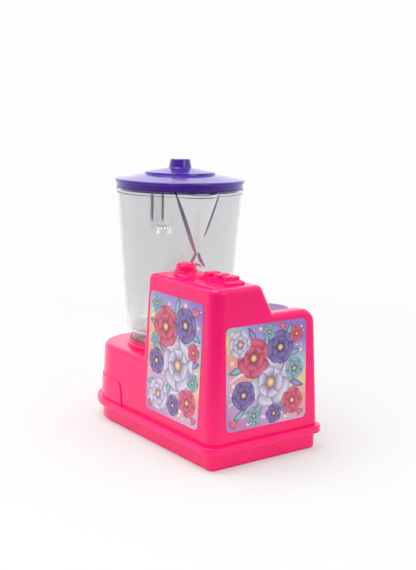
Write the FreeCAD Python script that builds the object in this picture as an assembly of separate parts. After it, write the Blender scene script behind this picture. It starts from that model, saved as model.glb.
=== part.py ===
"""Toy blender: a moulded base with a tall control block, a lift-off clear jug with a lid, and a small cup.

The frame: origin on the floor under the middle of the base, X along the base from the jug to the block,
Y across it from the sticker side to the cup side, Z up. All lengths are in millimetres.
"""
import FreeCAD, Part

import math
import os

from FreeCAD import Vector

UP = Vector(0, 0, 1)
ACROSS = Vector(0, 1, 0)
ALONG = Vector(1, 0, 0)

# ---------------------------------------------------------------- driving dimensions
# Moulded base
base_length = 172.0
base_width = 97.6
jug_end_radius = 36.5
foot_corner_radius = 5.7
draft = 2.3
housing_wall = 2.2
tray_height = 12.6
tray_inset = 0.4
tray_wall = 2.0
tray_side_wall = 2.4
tray_edge_radius = 2.6
flange_thickness = 5.6
flange_reach = 4.2
flange_edge_radius = 1.3
platform_height = 61.0
platform_edge_radius = 3.8
apron_height = 35.8
apron_proud = 0.8
apron_end_x = -30.0
apron_lean = 4.0
apron_corner_radius = 8.0

# Control block and cup bay
block_height = 125.8
block_end_x = -6.4
block_near_radius = 8.7
block_corner_radius = 4.9
block_edge_radius = 4.4
slope_top_radius = 5.0
slope_foot_radius = 2.8
slope_top_y = -4.0
slope_foot_y = 6.8
shelf_height = 104.8
shelf_end_radius = 11.0
bay_low_x = 26.0
bay_high_x = 72.6
bay_back_y = 8.8
bay_floor = 30.8
bay_corner_radius = 4.0

# Jug
jug_x = -32.2
jug_y = 3.9
jug_lift_off = 12.2
jug_height = 111.5
jug_top_radius = 48.9
jug_bottom_radius = 40.7
jug_wall = 2.0
jug_floor_thickness = 2.4
jug_edge_radius = 2.6
jug_foot_radius = 37.0
jug_foot_wall = 2.2
rim_bead_height = 1.6
rim_bead_proud = 0.5
jug_turn = -18.0
spout_proud = 9.0
spout_radius = 18.0
spout_drop = 48.5
spout_lip_dip = 2.6
handle_reach = 22.5
handle_width = 13.2
handle_drop = 39.6
handle_strap = 5.6
handle_flange = 3.2
handle_web = 2.2
rib_proud = 1.7
rib_foot_gap = 0.6
rib_top_drop = 43.7
rib_fork_drop = 51.7
rib_foot_reach = 6.6

# Lid
lid_brim_radius = 50.1
lid_brim_thickness = 2.8
lid_skirt_radius = 49.05
lid_skirt_height = 3.6
lid_wall = 2.0
lid_crown_rise = 3.6
lid_step_radius = 27.0
lid_step_height = 1.8
lid_dome_rise = 3.1
lid_knob_base_radius = 8.4
lid_knob_top_radius = 7.5
lid_knob_height = 6.8
lid_plug_depth = 2.0

# Jug seat and drive
collar_height = 4.9
collar_step_height = 2.4
collar_outer_radius = 39.8
collar_upper_radius = 38.5
seat_gap = 0.1
foot_clearance = 0.35
lift_clearance = 0.8
shaft_radius = 2.5
running_clearance = 0.05
dog_hub_radius = 4.0
dog_lug_radius = 7.0
dog_lug_width = 2.4
dog_clearance = 0.3
dog_height = 3.6
dog_neck_rise = 1.3
dog_step = 0.6
driven_dog_radius = 10.5
gear_module = 0.8
gear_teeth = 40
pinion_teeth = 10
gear_thickness = 4.6
gear_backlash = 0.16
motor_length = 25.0
motor_radius = 10.0
motor_flat_width = 15.0
blade_radius = 17.0
blade_height = 11.0

# Controls
button_x = 17.3
button_y = -23.6
button_radius = 7.8
button_proud = 8.4
button_collar_radius = 10.9
button_collar_height = 3.2
key_count = 3
key_first_x = 42.2
key_pitch = 11.0
key_y = -18.4
key_width = 7.4
key_length = 11.0
key_proud = 2.7
key_travel = 1.2
key_pad_height = 1.1
key_pad_rise = 1.5
key_pad_margin = 3.2
key_pad_ledge = 0.5
control_clearance = 0.2
control_flange = 1.4
control_flange_reach = 1.5
key_stem_radius = 1.6
switch_half = 3.0
switch_body_height = 2.6
switch_height = 3.5
switch_gap = 0.2
board_thickness = 1.6
board_corner_radius = 3.0
board_drop = 10.0

# Cup
cup_x = 48.0
cup_y = 27.8
cup_rim_radius = 18.6
cup_base_radius = 14.0
cup_height = 70.2
cup_wall = 1.5

# Stickers
sticker_thickness = 0.25
sticker_corner_radius = 4.0
front_sticker_width = 65.4
front_sticker_height = 88.4
front_sticker_low = 25.8
front_sticker_x = 36.4
side_sticker_width = 72.0
side_sticker_height = 73.0
side_sticker_low = 26.2
side_sticker_y = -0.2

# Power
cell_length = 50.2
cell_radius = 7.1
cell_count = 3
cell_pitch = 15.6
cell_box_x = 36.0
cell_box_wall = 1.6
door_recess = 0.3
door_gap = 0.25
screw_shank_radius = 1.3
screw_head_radius = 2.8
screw_head_height = 1.8
post_radius = 3.6
speaker_radius = 12.0
speaker_height = 6.0
column_radius = 4.4
door_ear_radius = 5.0
door_ear_share = 0.226
small_screw_radius = 1.0
small_head_radius = 2.2
small_head_height = 1.1
small_screw_grip = 4.8
screw_grip = 11.0
screw_seat_rise = 3.8
door_screw_web = 0.8
door_tab_half = 3.0
pillar_radius = 3.2
board_post_radius = 2.8
bush_radius = 5.0
blade_bush_radius = 4.4
blade_shaft_radius = 2.0
motor_shaft_radius = 1.0
key_corner_radius = 1.6
motor_shaft_depth = 5.0
contact_low = 1.2
contact_rise = 5.0
contact_thickness = 0.35
contact_half = 4.5
lid_seat_gap = 0.12
lid_plug_clearance = 0.35

# ---------------------------------------------------------------- sizes that follow
half_length = base_length / 2
half_width = base_width / 2
flange_low = tray_height
flange_high = tray_height + flange_thickness
draft_slope = math.tan(math.radians(draft))
collar_top = platform_height + collar_height
jug_bottom = platform_height + jug_lift_off
jug_top = jug_bottom + jug_height
collar_inner_radius = jug_foot_radius + foot_clearance
foot_low = platform_height + seat_gap
jug_slope = (jug_top_radius - jug_bottom_radius) / (jug_top - jug_bottom)
jug_floor_top = jug_bottom + jug_floor_thickness
platform_ceiling = platform_height - housing_wall
block_ceiling = block_height - housing_wall
gear_distance = gear_module * (gear_teeth + pinion_teeth) / 2
motor_x = jug_x - gear_distance
gear_top = platform_ceiling - 4.2
gear_low = gear_top - gear_thickness
plate_thickness = 2.0
plate_top = gear_low - 1.4
plate_low = plate_top - plate_thickness
driven_dog_low = collar_top + dog_clearance
dog_low = driven_dog_low - dog_step
dog_neck_low = platform_height + dog_neck_rise
dog_top = dog_low + dog_height
board_top = block_ceiling - board_drop
tray_floor_top = tray_wall
blade_low = jug_floor_top + 1.8
post_foot = tray_height + 2.0
screw_seat = tray_wall + screw_seat_rise
cell_box_low_x = cell_box_x - cell_pitch * cell_count / 2
cell_box_high_x = cell_box_x + cell_pitch * cell_count / 2
cell_box_reach = cell_length / 2 + 0.7
cell_axis_height = tray_floor_top + 0.2 + cell_radius
door_screw_y = cell_box_reach + (half_width - cell_box_reach) * door_ear_share
speaker_x = -half_length + 16.0
speaker_y = 0.0
post_jug_x = 19.0 - half_length
post_block_x = half_length - 13.0
post_jug_y = half_width - 20.0
post_block_y = half_width - 12.0
post_places = [
    (post_jug_x, -post_jug_y),
    (post_jug_x, post_jug_y),
    (post_block_x, -post_block_y),
    (post_block_x, post_block_y),
]
post_tops = [platform_ceiling + 0.5, platform_ceiling + 0.5, 46.0, bay_floor - 1.0]
pillar_places = [
    (motor_x - 10.5, jug_y - 15.0),
    (motor_x - 10.5, jug_y + 15.0),
    (jug_x + 21.0, jug_y - 15.0),
    (jug_x + 21.0, jug_y + 15.0),
]
board_low_x = 4.5
board_high_x = half_length - 9.0
board_low_y = 6.5 - half_width
board_high_y = slope_top_y - 1.5
board_post_places = [
    (board_low_x + 3.5, board_low_y + 3.5),
    (board_high_x - 3.5, board_low_y + 3.5),
    (board_high_x - 3.5, board_high_y - 3.5),
    (button_x + 11.5, board_high_y - 3.5),
]


# ---------------------------------------------------------------- shared forms
def save(name, shape):
    """Write one sub-part to its own file."""
    shape.exportStep(f"parts/{name}.step")


def inset_at(z):
    """How far the drafted walls have leaned in at a height above the flange."""
    return (z - flange_high) * draft_slope


def jug_radius_at(z):
    """Outer radius of the jug's tapered wall at a height."""
    return jug_bottom_radius + (z - jug_bottom) * jug_slope


def cylinder(radius, z_low, z_high, x=0.0, y=0.0):
    return Part.makeCylinder(radius, z_high - z_low, Vector(x, y, z_low), UP)


def cone(radius_low, radius_high, z_low, z_high, x=0.0, y=0.0):
    return Part.makeCone(radius_low, radius_high, z_high - z_low, Vector(x, y, z_low), UP)


def tube(outer, inner, z_low, z_high, x=0.0, y=0.0):
    return cylinder(outer, z_low, z_high, x, y).cut(cylinder(inner, z_low - 1, z_high + 1, x, y))


def box(x_low, x_high, y_low, y_high, z_low, z_high):
    return Part.makeBox(x_high - x_low, y_high - y_low, z_high - z_low, Vector(x_low, y_low, z_low))


def rounded_box(x_low, x_high, y_low, y_high, z_low, z_high, radius):
    """A box whose upright edges are rounded."""
    solid = box(x_low, x_high, y_low, y_high, z_low, z_high)
    upright = [edge for edge in solid.Edges if abs(edge.tangentAt(edge.FirstParameter).z) > 0.99]
    return solid.makeFillet(radius, upright)


def polygon_face(points):
    return Part.Face(Part.makePolygon(points + points[:1]))


def fused(shapes):
    """One solid from several that touch or overlap."""
    return shapes[0].multiFuse(shapes[1:]).removeSplitter()


def edges_where(shape, test):
    """Edges whose middle point passes a test."""
    chosen = []
    for edge in shape.Edges:
        middle = edge.valueAt((edge.FirstParameter + edge.LastParameter) / 2)
        if test(middle, edge):
            chosen.append(edge)
    return chosen


def meeting(first, second):
    """Where two lines in the plane across the base meet; each is a point and a direction."""
    (start, along), (other, across) = first, second
    gap = other - start
    turn = along.y * across.z - along.z * across.y
    return start + along * ((gap.y * across.z - gap.z * across.y) / turn)


def rounded_face(points, radii):
    """A face from a closed outline whose corners are rounded by the given radii."""
    edges = []
    count = len(points)
    starts, ends, arcs = [], [], []
    for index in range(count):
        corner, radius = points[index], radii[index]
        back = (points[index - 1] - corner).normalize()
        ahead = (points[(index + 1) % count] - corner).normalize()
        half_angle = back.getAngle(ahead) / 2
        reach = radius / math.tan(half_angle)
        starts.append(corner + back * reach)
        ends.append(corner + ahead * reach)
        if radius > 0:
            centre = corner + (back + ahead).normalize() * (radius / math.sin(half_angle))
            middle = centre + (corner - centre).normalize() * radius
            arcs.append(Part.Arc(starts[-1], middle, ends[-1]).toShape())
        else:
            arcs.append(None)
    for index in range(count):
        if arcs[index]:
            edges.append(arcs[index])
        following = starts[(index + 1) % count]
        if ends[index].distanceToPoint(following) > 1e-6:
            edges.append(Part.makeLine(ends[index], following))
    return Part.Face(Part.Wire(edges))


def drafted_prism(x_low, x_high, reach_y, radius_low, radius_high, z_low, z_high):
    """A rounded rectangle whose walls lean in with height; its sizes hold at the flange's top."""
    centres = [
        (x_high - radius_high, radius_high - reach_y, radius_high, -90),
        (x_high - radius_high, reach_y - radius_high, radius_high, 0),
        (x_low + radius_low, reach_y - radius_low, radius_low, 90),
        (x_low + radius_low, radius_low - reach_y, radius_low, 180),
    ]
    faces = []
    rings = {z_low: [], z_high: []}
    for x, y, radius, start in centres:
        ends = []
        for z in (z_low, z_high):
            reach = radius - inset_at(z)
            angle = math.radians(start)
            point = Vector(x + reach * math.cos(angle), y + reach * math.sin(angle), z)
            ends.append(point)
            circle = Part.Circle(Vector(x, y, z), UP, reach)
            arc = Part.Arc(circle, angle, angle + math.pi / 2).toShape()
            rings[z].append((arc, point, arc.valueAt(arc.LastParameter)))
        slant = Part.makeLine(ends[0], ends[1])
        faces.append(slant.revolve(Vector(x, y, 0), UP, 90))
    for index in range(4):
        after = (index + 1) % 4
        low_start, low_end = rings[z_low][index][2], rings[z_low][after][1]
        high_start, high_end = rings[z_high][index][2], rings[z_high][after][1]
        faces.append(polygon_face([low_start, low_end, high_end, high_start]))
    for z in (z_low, z_high):
        edges = []
        for index in range(4):
            arc, _, end = rings[z][index]
            edges.append(arc)
            edges.append(Part.makeLine(end, rings[z][(index + 1) % 4][1]))
        faces.append(Part.Face(Part.Wire(Part.__sortEdges__(edges))))
    shell = Part.makeShell(faces)
    shell.sewShape()
    solid = Part.makeSolid(shell)
    if solid.Volume < 0:
        solid.reverse()
    return solid


def full_plan(grow, z_low, z_high):
    """The whole base's outline, grown by a distance, between two heights."""
    return drafted_prism(
        -half_length - grow,
        half_length + grow,
        half_width + grow,
        jug_end_radius + grow,
        block_near_radius + grow,
        z_low,
        z_high,
    )


def upright_plan(grow, z_low, z_high, corner_radius=foot_corner_radius):
    """The whole base's outline without draft, grown by a distance."""
    reach_x, reach_y = half_length + grow, half_width + grow
    corners = [(-reach_x, -reach_y), (reach_x, -reach_y), (reach_x, reach_y), (-reach_x, reach_y)]
    radii = [jug_end_radius, corner_radius, corner_radius, jug_end_radius]
    outline = rounded_face([Vector(x, y, z_low) for x, y in corners], [radius + grow for radius in radii])
    return outline.extrude(UP * (z_high - z_low))


# ---------------------------------------------------------------- housing
def block_side(skin):
    """The control block seen along the base: near wall, top, slope, shelf and far wall, as a closed face."""
    low = flange_low
    slope_run = Vector(0, slope_foot_y - slope_top_y, shelf_height - block_height).normalize()
    slope_inward = Vector(0, slope_run.z, -slope_run.y)
    near_reach = skin - half_width
    near_wall = (Vector(0, near_reach + inset_at(low), low), Vector(0, draft_slope, 1))
    far_wall = (Vector(0, -near_reach - inset_at(low), low), Vector(0, -draft_slope, 1))
    top = (Vector(0, 0, block_height - skin), ACROSS)
    slope = (Vector(0, slope_top_y, block_height) + slope_inward * skin, slope_run)
    shelf = (Vector(0, 0, shelf_height - skin), ACROSS)
    floor = (Vector(0, 0, low), ACROSS)
    points = [
        meeting(floor, near_wall),
        meeting(near_wall, top),
        meeting(top, slope),
        meeting(slope, shelf),
        meeting(shelf, far_wall),
        meeting(far_wall, floor),
    ]
    radii = [0, 0, slope_top_radius - skin, slope_foot_radius + skin, shelf_end_radius - skin, 0]
    return rounded_face(points, radii)


def block_form(skin):
    """The control block with its slope, shelf and rounded edges; skin shrinks it to the inside."""
    low = flange_low
    high = block_height + 1
    side = block_side(skin)
    side.translate(ALONG * (-half_length))
    long_form = side.extrude(ALONG * (2 * base_length))
    front = polygon_face([
        Vector(block_end_x + skin + inset_at(low), -half_width * 2, low),
        Vector(half_length - skin - inset_at(low), -half_width * 2, low),
        Vector(half_length - skin - inset_at(high), -half_width * 2, high),
        Vector(block_end_x + skin + inset_at(high), -half_width * 2, high),
    ]).extrude(ACROSS * (4 * half_width))
    block = long_form.common(front)
    block = block.makeFillet(block_near_radius - skin, near_upright(block, 1))
    block = block.makeFillet(block_corner_radius - skin, near_upright(block, -1))
    rim = edges_where(block, lambda point, edge: is_block_rim(point, skin))
    return block.makeFillet(block_edge_radius - skin, rim)


def near_upright(block, side):
    """The upright corner edge on the sticker side, at the block's high-X or low-X end."""
    middle_x = (block_end_x + half_length) / 2
    return edges_where(
        block,
        lambda point, edge: point.y < -half_width / 2 and (point.x - middle_x) * side > 30 and edge.Length > 60,
    )


def is_block_rim(point, skin):
    """True for every outer edge but those along the floor, the rounded near corners and the inner bends."""
    if point.z < flange_low + 1:
        return False
    on_ends = point.x < block_end_x + skin + 6 or point.x > half_length - skin - 6
    near_corner = point.y < skin + 12 - half_width and point.z < block_height - skin - 1
    near_top = point.y < -half_width / 2 and point.z > block_height - skin - 1
    return (on_ends and not near_corner) or near_top


def jug_recess(skin):
    """The scoop in the block that the jug lifts out of."""
    low = platform_height - (skin if skin else 0)
    grow = lift_clearance + skin
    return cone(jug_radius_at(low) + grow, jug_radius_at(block_height + 5) + grow, low, block_height + 5, jug_x, jug_y)


def cup_bay(skin):
    """The open bay that the cup stands in."""
    return rounded_box(
        bay_low_x - skin,
        bay_high_x + skin,
        bay_back_y - skin,
        half_width + 30,
        bay_floor - skin,
        block_height + 30,
        bay_corner_radius + skin,
    )


def housing_form(skin):
    """Outer form of the housing, or its inside when skin is the wall."""
    low = flange_low if skin == 0 else 0.0
    platform = drafted_prism(
        -half_length + skin,
        half_length / 2,
        half_width - skin,
        jug_end_radius - skin,
        block_near_radius,
        low,
        platform_height - skin,
    )
    top = platform_height - skin
    rim = edges_where(platform, lambda p, e: abs(p.z - top) < 0.01)
    platform = platform.makeFillet(platform_edge_radius - skin, rim)
    form = platform.fuse(block_form(skin))
    form = form.cut(jug_recess(skin))
    return form.cut(cup_bay(skin))


def flange_rim():
    """The rounded lip round the housing's open foot."""
    rim = upright_plan(flange_reach, flange_low, flange_high)
    edges = edges_where(rim, lambda point, edge: abs(point.z - flange_low) < 0.01 or abs(point.z - flange_high) < 0.01)
    return rim.makeFillet(flange_edge_radius, edges)


def apron():
    """The raised band round the jug end, with a rounded upper corner on each side."""
    low = flange_high - 2
    band = full_plan(apron_proud, low, apron_height)
    side = rounded_face(
        [
            Vector(-base_length, -base_width, low),
            Vector(apron_end_x, -base_width, low),
            Vector(apron_end_x - apron_lean, -base_width, apron_height + 1),
            Vector(-base_length, -base_width, apron_height + 1),
        ],
        [0, 0, apron_corner_radius, 0],
    )
    band = band.common(side.extrude(ACROSS * (2 * base_width)))
    edges = edges_where(band, lambda point, edge: abs(point.z - apron_height) < 0.01 and point.x < apron_end_x - 12)
    return band.makeFillet(apron_proud * 0.6, edges)


def jug_collar():
    """The raised ring that the jug's foot drops into, and the hub for the drive bush."""
    step_top = platform_height + collar_step_height
    outline = rounded_face(
        [
            Vector(collar_inner_radius, 0, platform_height - 0.5),
            Vector(collar_outer_radius, 0, platform_height - 0.5),
            Vector(collar_outer_radius, 0, step_top),
            Vector(collar_upper_radius, 0, step_top),
            Vector(collar_upper_radius, 0, collar_top),
            Vector(collar_inner_radius, 0, collar_top),
        ],
        [0, 0, 0.9, 0.5, 0.5, 0.4],
    )
    ring = outline.revolve(Vector(0, 0, 0), UP, 360)
    ring.translate(Vector(jug_x, jug_y, 0))
    hub = cylinder(bush_radius + 2.4, platform_ceiling - 3.4, platform_height + 0.6, jug_x, jug_y)
    return [ring, hub]


def button_collar():
    """The flared ring that the round button stands in."""
    inner = button_radius + control_clearance
    base = block_height - 0.2
    waist = inner + (button_collar_radius - inner) * 0.36
    outline = rounded_face(
        [
            Vector(inner - 1, 0, base - 1),
            Vector(button_collar_radius, 0, base - 1),
            Vector(button_collar_radius, 0, base),
            Vector(waist, 0, block_height + button_collar_height * 0.3),
            Vector(inner + 0.55, 0, block_height + button_collar_height),
            Vector(inner - 1, 0, block_height + button_collar_height),
        ],
        [0, 0, 0, 2.0, 0.3, 0],
    )
    ring = outline.revolve(Vector(0, 0, 0), UP, 360)
    ring.translate(Vector(button_x, button_y, 0))
    return ring.cut(jug_recess(0))


def key_centres():
    return [(key_first_x + index * key_pitch, key_y) for index in range(key_count)]


def key_block(grow, z_low, z_high, x, y):
    """A rounded rectangle round one key's centre."""
    across = key_width / 2 + grow
    along = key_length / 2 + grow
    return rounded_box(x - across, x + across, y - along, y + along, z_low, z_high, key_corner_radius + grow)


def key_pad():
    """The raised panel that frames the keys: a low upright edge and a sloped border."""
    last_x = key_first_x + (key_count - 1) * key_pitch
    across = key_width / 2 + key_pad_margin
    along = key_length / 2 + key_pad_margin
    shoulder = block_height + key_pad_height
    x_low, x_high = key_first_x - across, last_x + across
    pad = rounded_box(x_low, x_high, key_y - along, key_y + along, block_height - 0.5, shoulder, key_pad_margin)
    rings = []
    for inset, z in ((0.0, shoulder), (key_pad_margin - key_pad_ledge, shoulder + key_pad_rise)):
        corners = [
            Vector(x_low + inset, key_y - along + inset, z),
            Vector(x_high - inset, key_y - along + inset, z),
            Vector(x_high - inset, key_y + along - inset, z),
            Vector(x_low + inset, key_y + along - inset, z),
        ]
        rings.append(rounded_face(corners, [key_pad_margin - inset] * 4).OuterWire)
    return fused([pad, Part.makeLoft(rings, True, True)])


def housing_posts():
    """Hollow posts for the long screws, and the webs that tie the free one to the walls."""
    posts = []
    for (x, y), top in zip(post_places, post_tops):
        posts.append(cylinder(post_radius, post_foot, top, x, y))
    x, y = post_places[2]
    web_top = post_tops[2] - 2
    web_low = post_foot + 8
    half_web = 0.8
    posts.append(box(x, half_length - housing_wall, y - half_web, y + half_web, web_low, web_top))
    posts.append(box(x - half_web, x + half_web, -half_width + housing_wall, y, web_low, web_top))
    for x, y in pillar_places:
        posts.append(cylinder(pillar_radius, plate_top, platform_ceiling + 0.5, x, y))
    for x, y in board_post_places:
        posts.append(cylinder(board_post_radius, board_top, block_ceiling + 0.5, x, y))
    return posts


def housing_bores():
    """Everything that is cut through the housing's skin and its posts."""
    bores = [cylinder(bush_radius, platform_ceiling - 10, platform_height + 5, jug_x, jug_y)]
    bores.append(cylinder(button_radius + control_clearance, block_ceiling - 1, block_height + 9, button_x, button_y))
    for x, y in key_centres():
        bores.append(key_block(control_clearance, block_ceiling - 1, block_height + 9, x, y))
    for x, y in post_places:
        bores.append(cylinder(screw_shank_radius, post_foot - 1, post_foot + 12.5, x, y))
    for x, y in pillar_places:
        bores.append(cylinder(small_screw_radius, plate_top - 1, plate_top + 6, x, y))
    for x, y in board_post_places:
        bores.append(cylinder(small_screw_radius, board_top - 1, board_top + 6, x, y))
    return bores


def upper_housing():
    """The one-piece moulded shell: platform, block, bay, collar, flange and inner posts."""
    outer = fused([housing_form(0), flange_rim(), apron()])
    shell = outer.cut(housing_form(housing_wall))
    shell = fused([shell, button_collar(), key_pad()] + jug_collar() + housing_posts())
    for bore in housing_bores():
        shell = shell.cut(bore)
    return shell


# ---------------------------------------------------------------- tray and power
def base_tray():
    """The bottom pan: flat underside, screw columns, cell box and the locating rim."""
    pan = upright_plan(-tray_inset, 0, tray_height)
    foot = edges_where(pan, lambda point, edge: abs(point.z) < 0.01)
    pan = pan.makeFillet(tray_edge_radius, foot)
    inner = tray_inset + tray_side_wall
    pan = pan.cut(upright_plan(-inner, tray_floor_top, tray_height + 1))
    rim_out = housing_wall + 0.15
    rim = upright_plan(-rim_out, tray_height - 3, tray_height + 3, block_near_radius)
    rim = rim.cut(upright_plan(-rim_out - 1.5, tray_height - 4, tray_height + 4, block_near_radius))
    pieces = [pan, rim]
    for x, y in post_places:
        pieces.append(cylinder(column_radius, tray_floor_top - 0.5, post_foot - 0.1, x, y))
    box_out = cell_box_wall
    high = tray_floor_top + 9
    walls = box(
        cell_box_low_x - box_out, cell_box_high_x + box_out, -cell_box_reach - box_out, cell_box_reach + box_out,
        tray_floor_top - 0.5, high,
    )
    pieces.append(walls)
    pieces.append(cylinder(door_ear_radius, tray_floor_top - 0.5, tray_floor_top + 7, cell_box_x, door_screw_y))
    cell_space = box(
        cell_box_low_x, cell_box_high_x, -cell_box_reach, cell_box_reach, tray_floor_top - 0.5, high + 1
    )
    tray = fused(pieces).cut(cell_space)
    tray = tray.cut(door_plan(door_gap, -1, tray_floor_top))
    tray = tray.cut(cylinder(small_screw_radius, 0, tray_floor_top + 6, cell_box_x, door_screw_y))
    for tab in door_tabs(door_gap):
        tray = tray.cut(tab)
    for x, y in post_places:
        tray = tray.cut(cylinder(screw_shank_radius + 0.2, -1, post_foot + 1, x, y))
        tray = tray.cut(cylinder(screw_head_radius + 0.3, -1, screw_seat, x, y))
    return tray.cut(speaker_slots())


def speaker_slots():
    """Sound slots through the tray's floor below the speaker."""
    slots = []
    for index in range(-2, 3):
        y = speaker_y + index * 3.4
        reach = math.sqrt(speaker_radius ** 2 - (index * 3.4) ** 2) - 3.5
        slots.append(rounded_box(
            speaker_x - reach, speaker_x + reach, y - 0.7, y + 0.7, -1, tray_floor_top + 1, 0.69
        ))
    return Part.makeCompound(slots)


def door_plan(grow, z_low, z_high):
    """The cell door's outline: a rectangle with a round screw ear on the cup side."""
    plate = box(
        cell_box_low_x - grow, cell_box_high_x + grow, -cell_box_reach - grow, cell_box_reach + grow, z_low, z_high
    )
    ear = cylinder(door_ear_radius - 1 + grow, z_low, z_high, cell_box_x, door_screw_y)
    neck = box(
        cell_box_x - door_ear_radius + 1 - grow, cell_box_x + door_ear_radius - 1 + grow,
        cell_box_reach - 1, door_screw_y, z_low, z_high,
    )
    return fused([plate, ear, neck])


def door_tabs(grow):
    """The two hooks that reach over the tray's floor, between the cells on the sticker side."""
    tabs = []
    edge = -cell_box_reach
    for side in (-0.5, 0.5):
        x = cell_box_x + side * cell_pitch
        half = door_tab_half + grow
        root = box(x - half, x + half, edge, edge + 1.2, tray_floor_top - 0.3, tray_floor_top + 1.1 + grow)
        hook = box(x - half, x + half, edge - 1.3 - grow, edge + 1.2, tray_floor_top + 0.1, tray_floor_top + 1.1 + grow)
        tabs += [root, hook]
    return tabs


def cell_door():
    """The screwed cover under the cells."""
    door = fused([door_plan(0, door_recess, tray_floor_top)] + door_tabs(0))
    head_top = tray_floor_top - door_screw_web
    door = door.cut(cylinder(small_screw_radius + 0.2, 0, tray_floor_top + 1, cell_box_x, door_screw_y))
    return door.cut(cylinder(small_head_radius + 0.3, -1, head_top, cell_box_x, door_screw_y))


def screw(radius, head_radius, head_height, head_low, length, x, y):
    """A pan-head screw driven upwards, with a slot across the head."""
    shank_low = head_low + head_height
    head = cylinder(head_radius, head_low, shank_low, x, y)
    rim = edges_where(head, lambda point, edge: abs(point.z - head_low) < 0.01)
    head = head.makeFillet(head_height * 0.35, rim)
    slot = box(x - head_radius, x + head_radius, y - 0.3, y + 0.3, head_low - 1, head_low + head_height * 0.4)
    point = cone(radius, radius * 0.35, shank_low + length - 1.5, shank_low + length, x, y)
    shank = cylinder(radius, shank_low, shank_low + length - 1.5, x, y)
    return fused([head, shank, point]).cut(slot)


def screw_set(places, radius, head_radius, head_height, head_low, length):
    """Equal screws at several places."""
    return Part.makeCompound([screw(radius, head_radius, head_height, head_low, length, x, y) for x, y in places])


def door_screw():
    """The one screw that holds the cell door shut."""
    head_low = tray_floor_top - door_screw_web - small_head_height
    length = door_screw_web + small_screw_grip
    return screw(small_screw_radius, small_head_radius, small_head_height, head_low, length, cell_box_x, door_screw_y)


def housing_screws():
    """The four long screws that join tray and housing."""
    head_low = screw_seat - screw_head_height
    length = post_foot - screw_seat + screw_grip
    return screw_set(post_places, screw_shank_radius, screw_head_radius, screw_head_height, head_low, length)


def small_screws(places, seat, thickness):
    """Small screws whose heads bear upwards on a plate of a given thickness."""
    head_low = seat - small_head_height
    length = thickness + small_screw_grip
    return screw_set(places, small_screw_radius, small_head_radius, small_head_height, head_low, length)


def cell(index):
    """One round cell lying across the base, its raised end alternating."""
    x = cell_box_x + (index - (cell_count - 1) / 2) * cell_pitch
    turn = 1 if index % 2 else -1
    nub = 1.2
    outline = rounded_face(
        [
            Vector(0, -cell_length / 2 + nub, 0),
            Vector(cell_radius, -cell_length / 2 + nub, 0),
            Vector(cell_radius, cell_length / 2, 0),
            Vector(0, cell_length / 2, 0),
        ],
        [0, 0.7, 0.7, 0],
    )
    body = outline.revolve(Vector(0, 0, 0), ACROSS, 360)
    raised = Part.makeCylinder(2.7, nub + 1, Vector(0, -cell_length / 2, 0), ACROSS)
    shape = fused([body, raised])
    shape.rotate(Vector(0, 0, 0), UP, 90 - 90 * turn)
    shape.translate(Vector(x, 0, cell_axis_height))
    return shape


def cell_contacts():
    """Bent sheet strips at both ends of the cells."""
    strips = []
    low, high = tray_floor_top + contact_low, cell_axis_height + contact_rise
    for side in (-1, 1):
        for index in range(cell_count):
            x = cell_box_x + (index - (cell_count - 1) / 2) * cell_pitch
            inner = side * (cell_length / 2 + 0.15)
            outer = inner + side * contact_thickness
            y_low, y_high = min(inner, outer), max(inner, outer)
            strips.append(box(x - contact_half, x + contact_half, y_low, y_high, low, high))
    return Part.makeCompound(strips)


def speaker():
    """A small round speaker over the sound slots: dished cone, frame and magnet."""
    low = tray_floor_top + 0.1
    frame = tube(speaker_radius, speaker_radius - 2.2, low, low + 2.4)
    bowl = cone(speaker_radius - 1.4, speaker_radius * 0.55, low + 0.8, low + speaker_height - 1.5)
    hollow = cone(speaker_radius - 2.2, speaker_radius * 0.5, low - 0.3, low + speaker_height - 2.5)
    magnet = cylinder(speaker_radius * 0.52, low + speaker_height - 2, low + speaker_height + 1)
    shape = fused([frame, bowl.cut(hollow), magnet])
    shape.translate(Vector(speaker_x, speaker_y, 0))
    return shape


# ---------------------------------------------------------------- drive
def gear_outline(teeth, root_turn, bore):
    """A spur gear's plan with involute flanks, thinned by the backlash."""
    pitch_radius = gear_module * teeth / 2
    base_radius = pitch_radius * math.cos(math.radians(20))
    tip_radius = pitch_radius + gear_module * 0.95
    root_radius = pitch_radius - gear_module * 1.2
    half_tooth = math.pi / (2 * teeth) - gear_backlash / (2 * pitch_radius)

    def flank_angle(radius):
        """Polar angle of the involute from its start at the base circle."""
        if radius <= base_radius:
            return 0.0
        roll = math.sqrt((radius / base_radius) ** 2 - 1)
        return roll - math.atan(roll)

    at_pitch = flank_angle(pitch_radius)
    radii = [root_radius, max(base_radius, root_radius + 0.05), pitch_radius, tip_radius]
    points = []
    for tooth in range(teeth):
        middle = root_turn + 2 * math.pi * tooth / teeth
        left = [(radius, middle - half_tooth - at_pitch + flank_angle(radius)) for radius in radii]
        right = [(radius, 2 * middle - angle) for radius, angle in reversed(left)]
        for radius, angle in left + right:
            points.append(Vector(radius * math.cos(angle), radius * math.sin(angle), 0))
    face = polygon_face(points)
    hole = Part.Face(Part.Wire(Part.makeCircle(bore, Vector(0, 0, 0))))
    return face.cut(hole)


def drive_gear():
    """The large gear, thinned to a web with round lightening holes."""
    gear = gear_outline(gear_teeth, math.pi / gear_teeth, shaft_radius).extrude(UP * gear_thickness)
    rim = gear_module * gear_teeth / 2 - 3.2
    hub = shaft_radius + 2.6
    groove = tube(rim, hub, gear_thickness - 1.4, gear_thickness + 1)
    gear = gear.cut(groove)
    for index in range(6):
        angle = math.radians(60 * index)
        reach = (rim + hub) / 2
        gear = gear.cut(cylinder(2.1, -1, gear_thickness + 1, reach * math.cos(angle), reach * math.sin(angle)))
    gear.translate(Vector(jug_x, jug_y, gear_low))
    return gear


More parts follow.
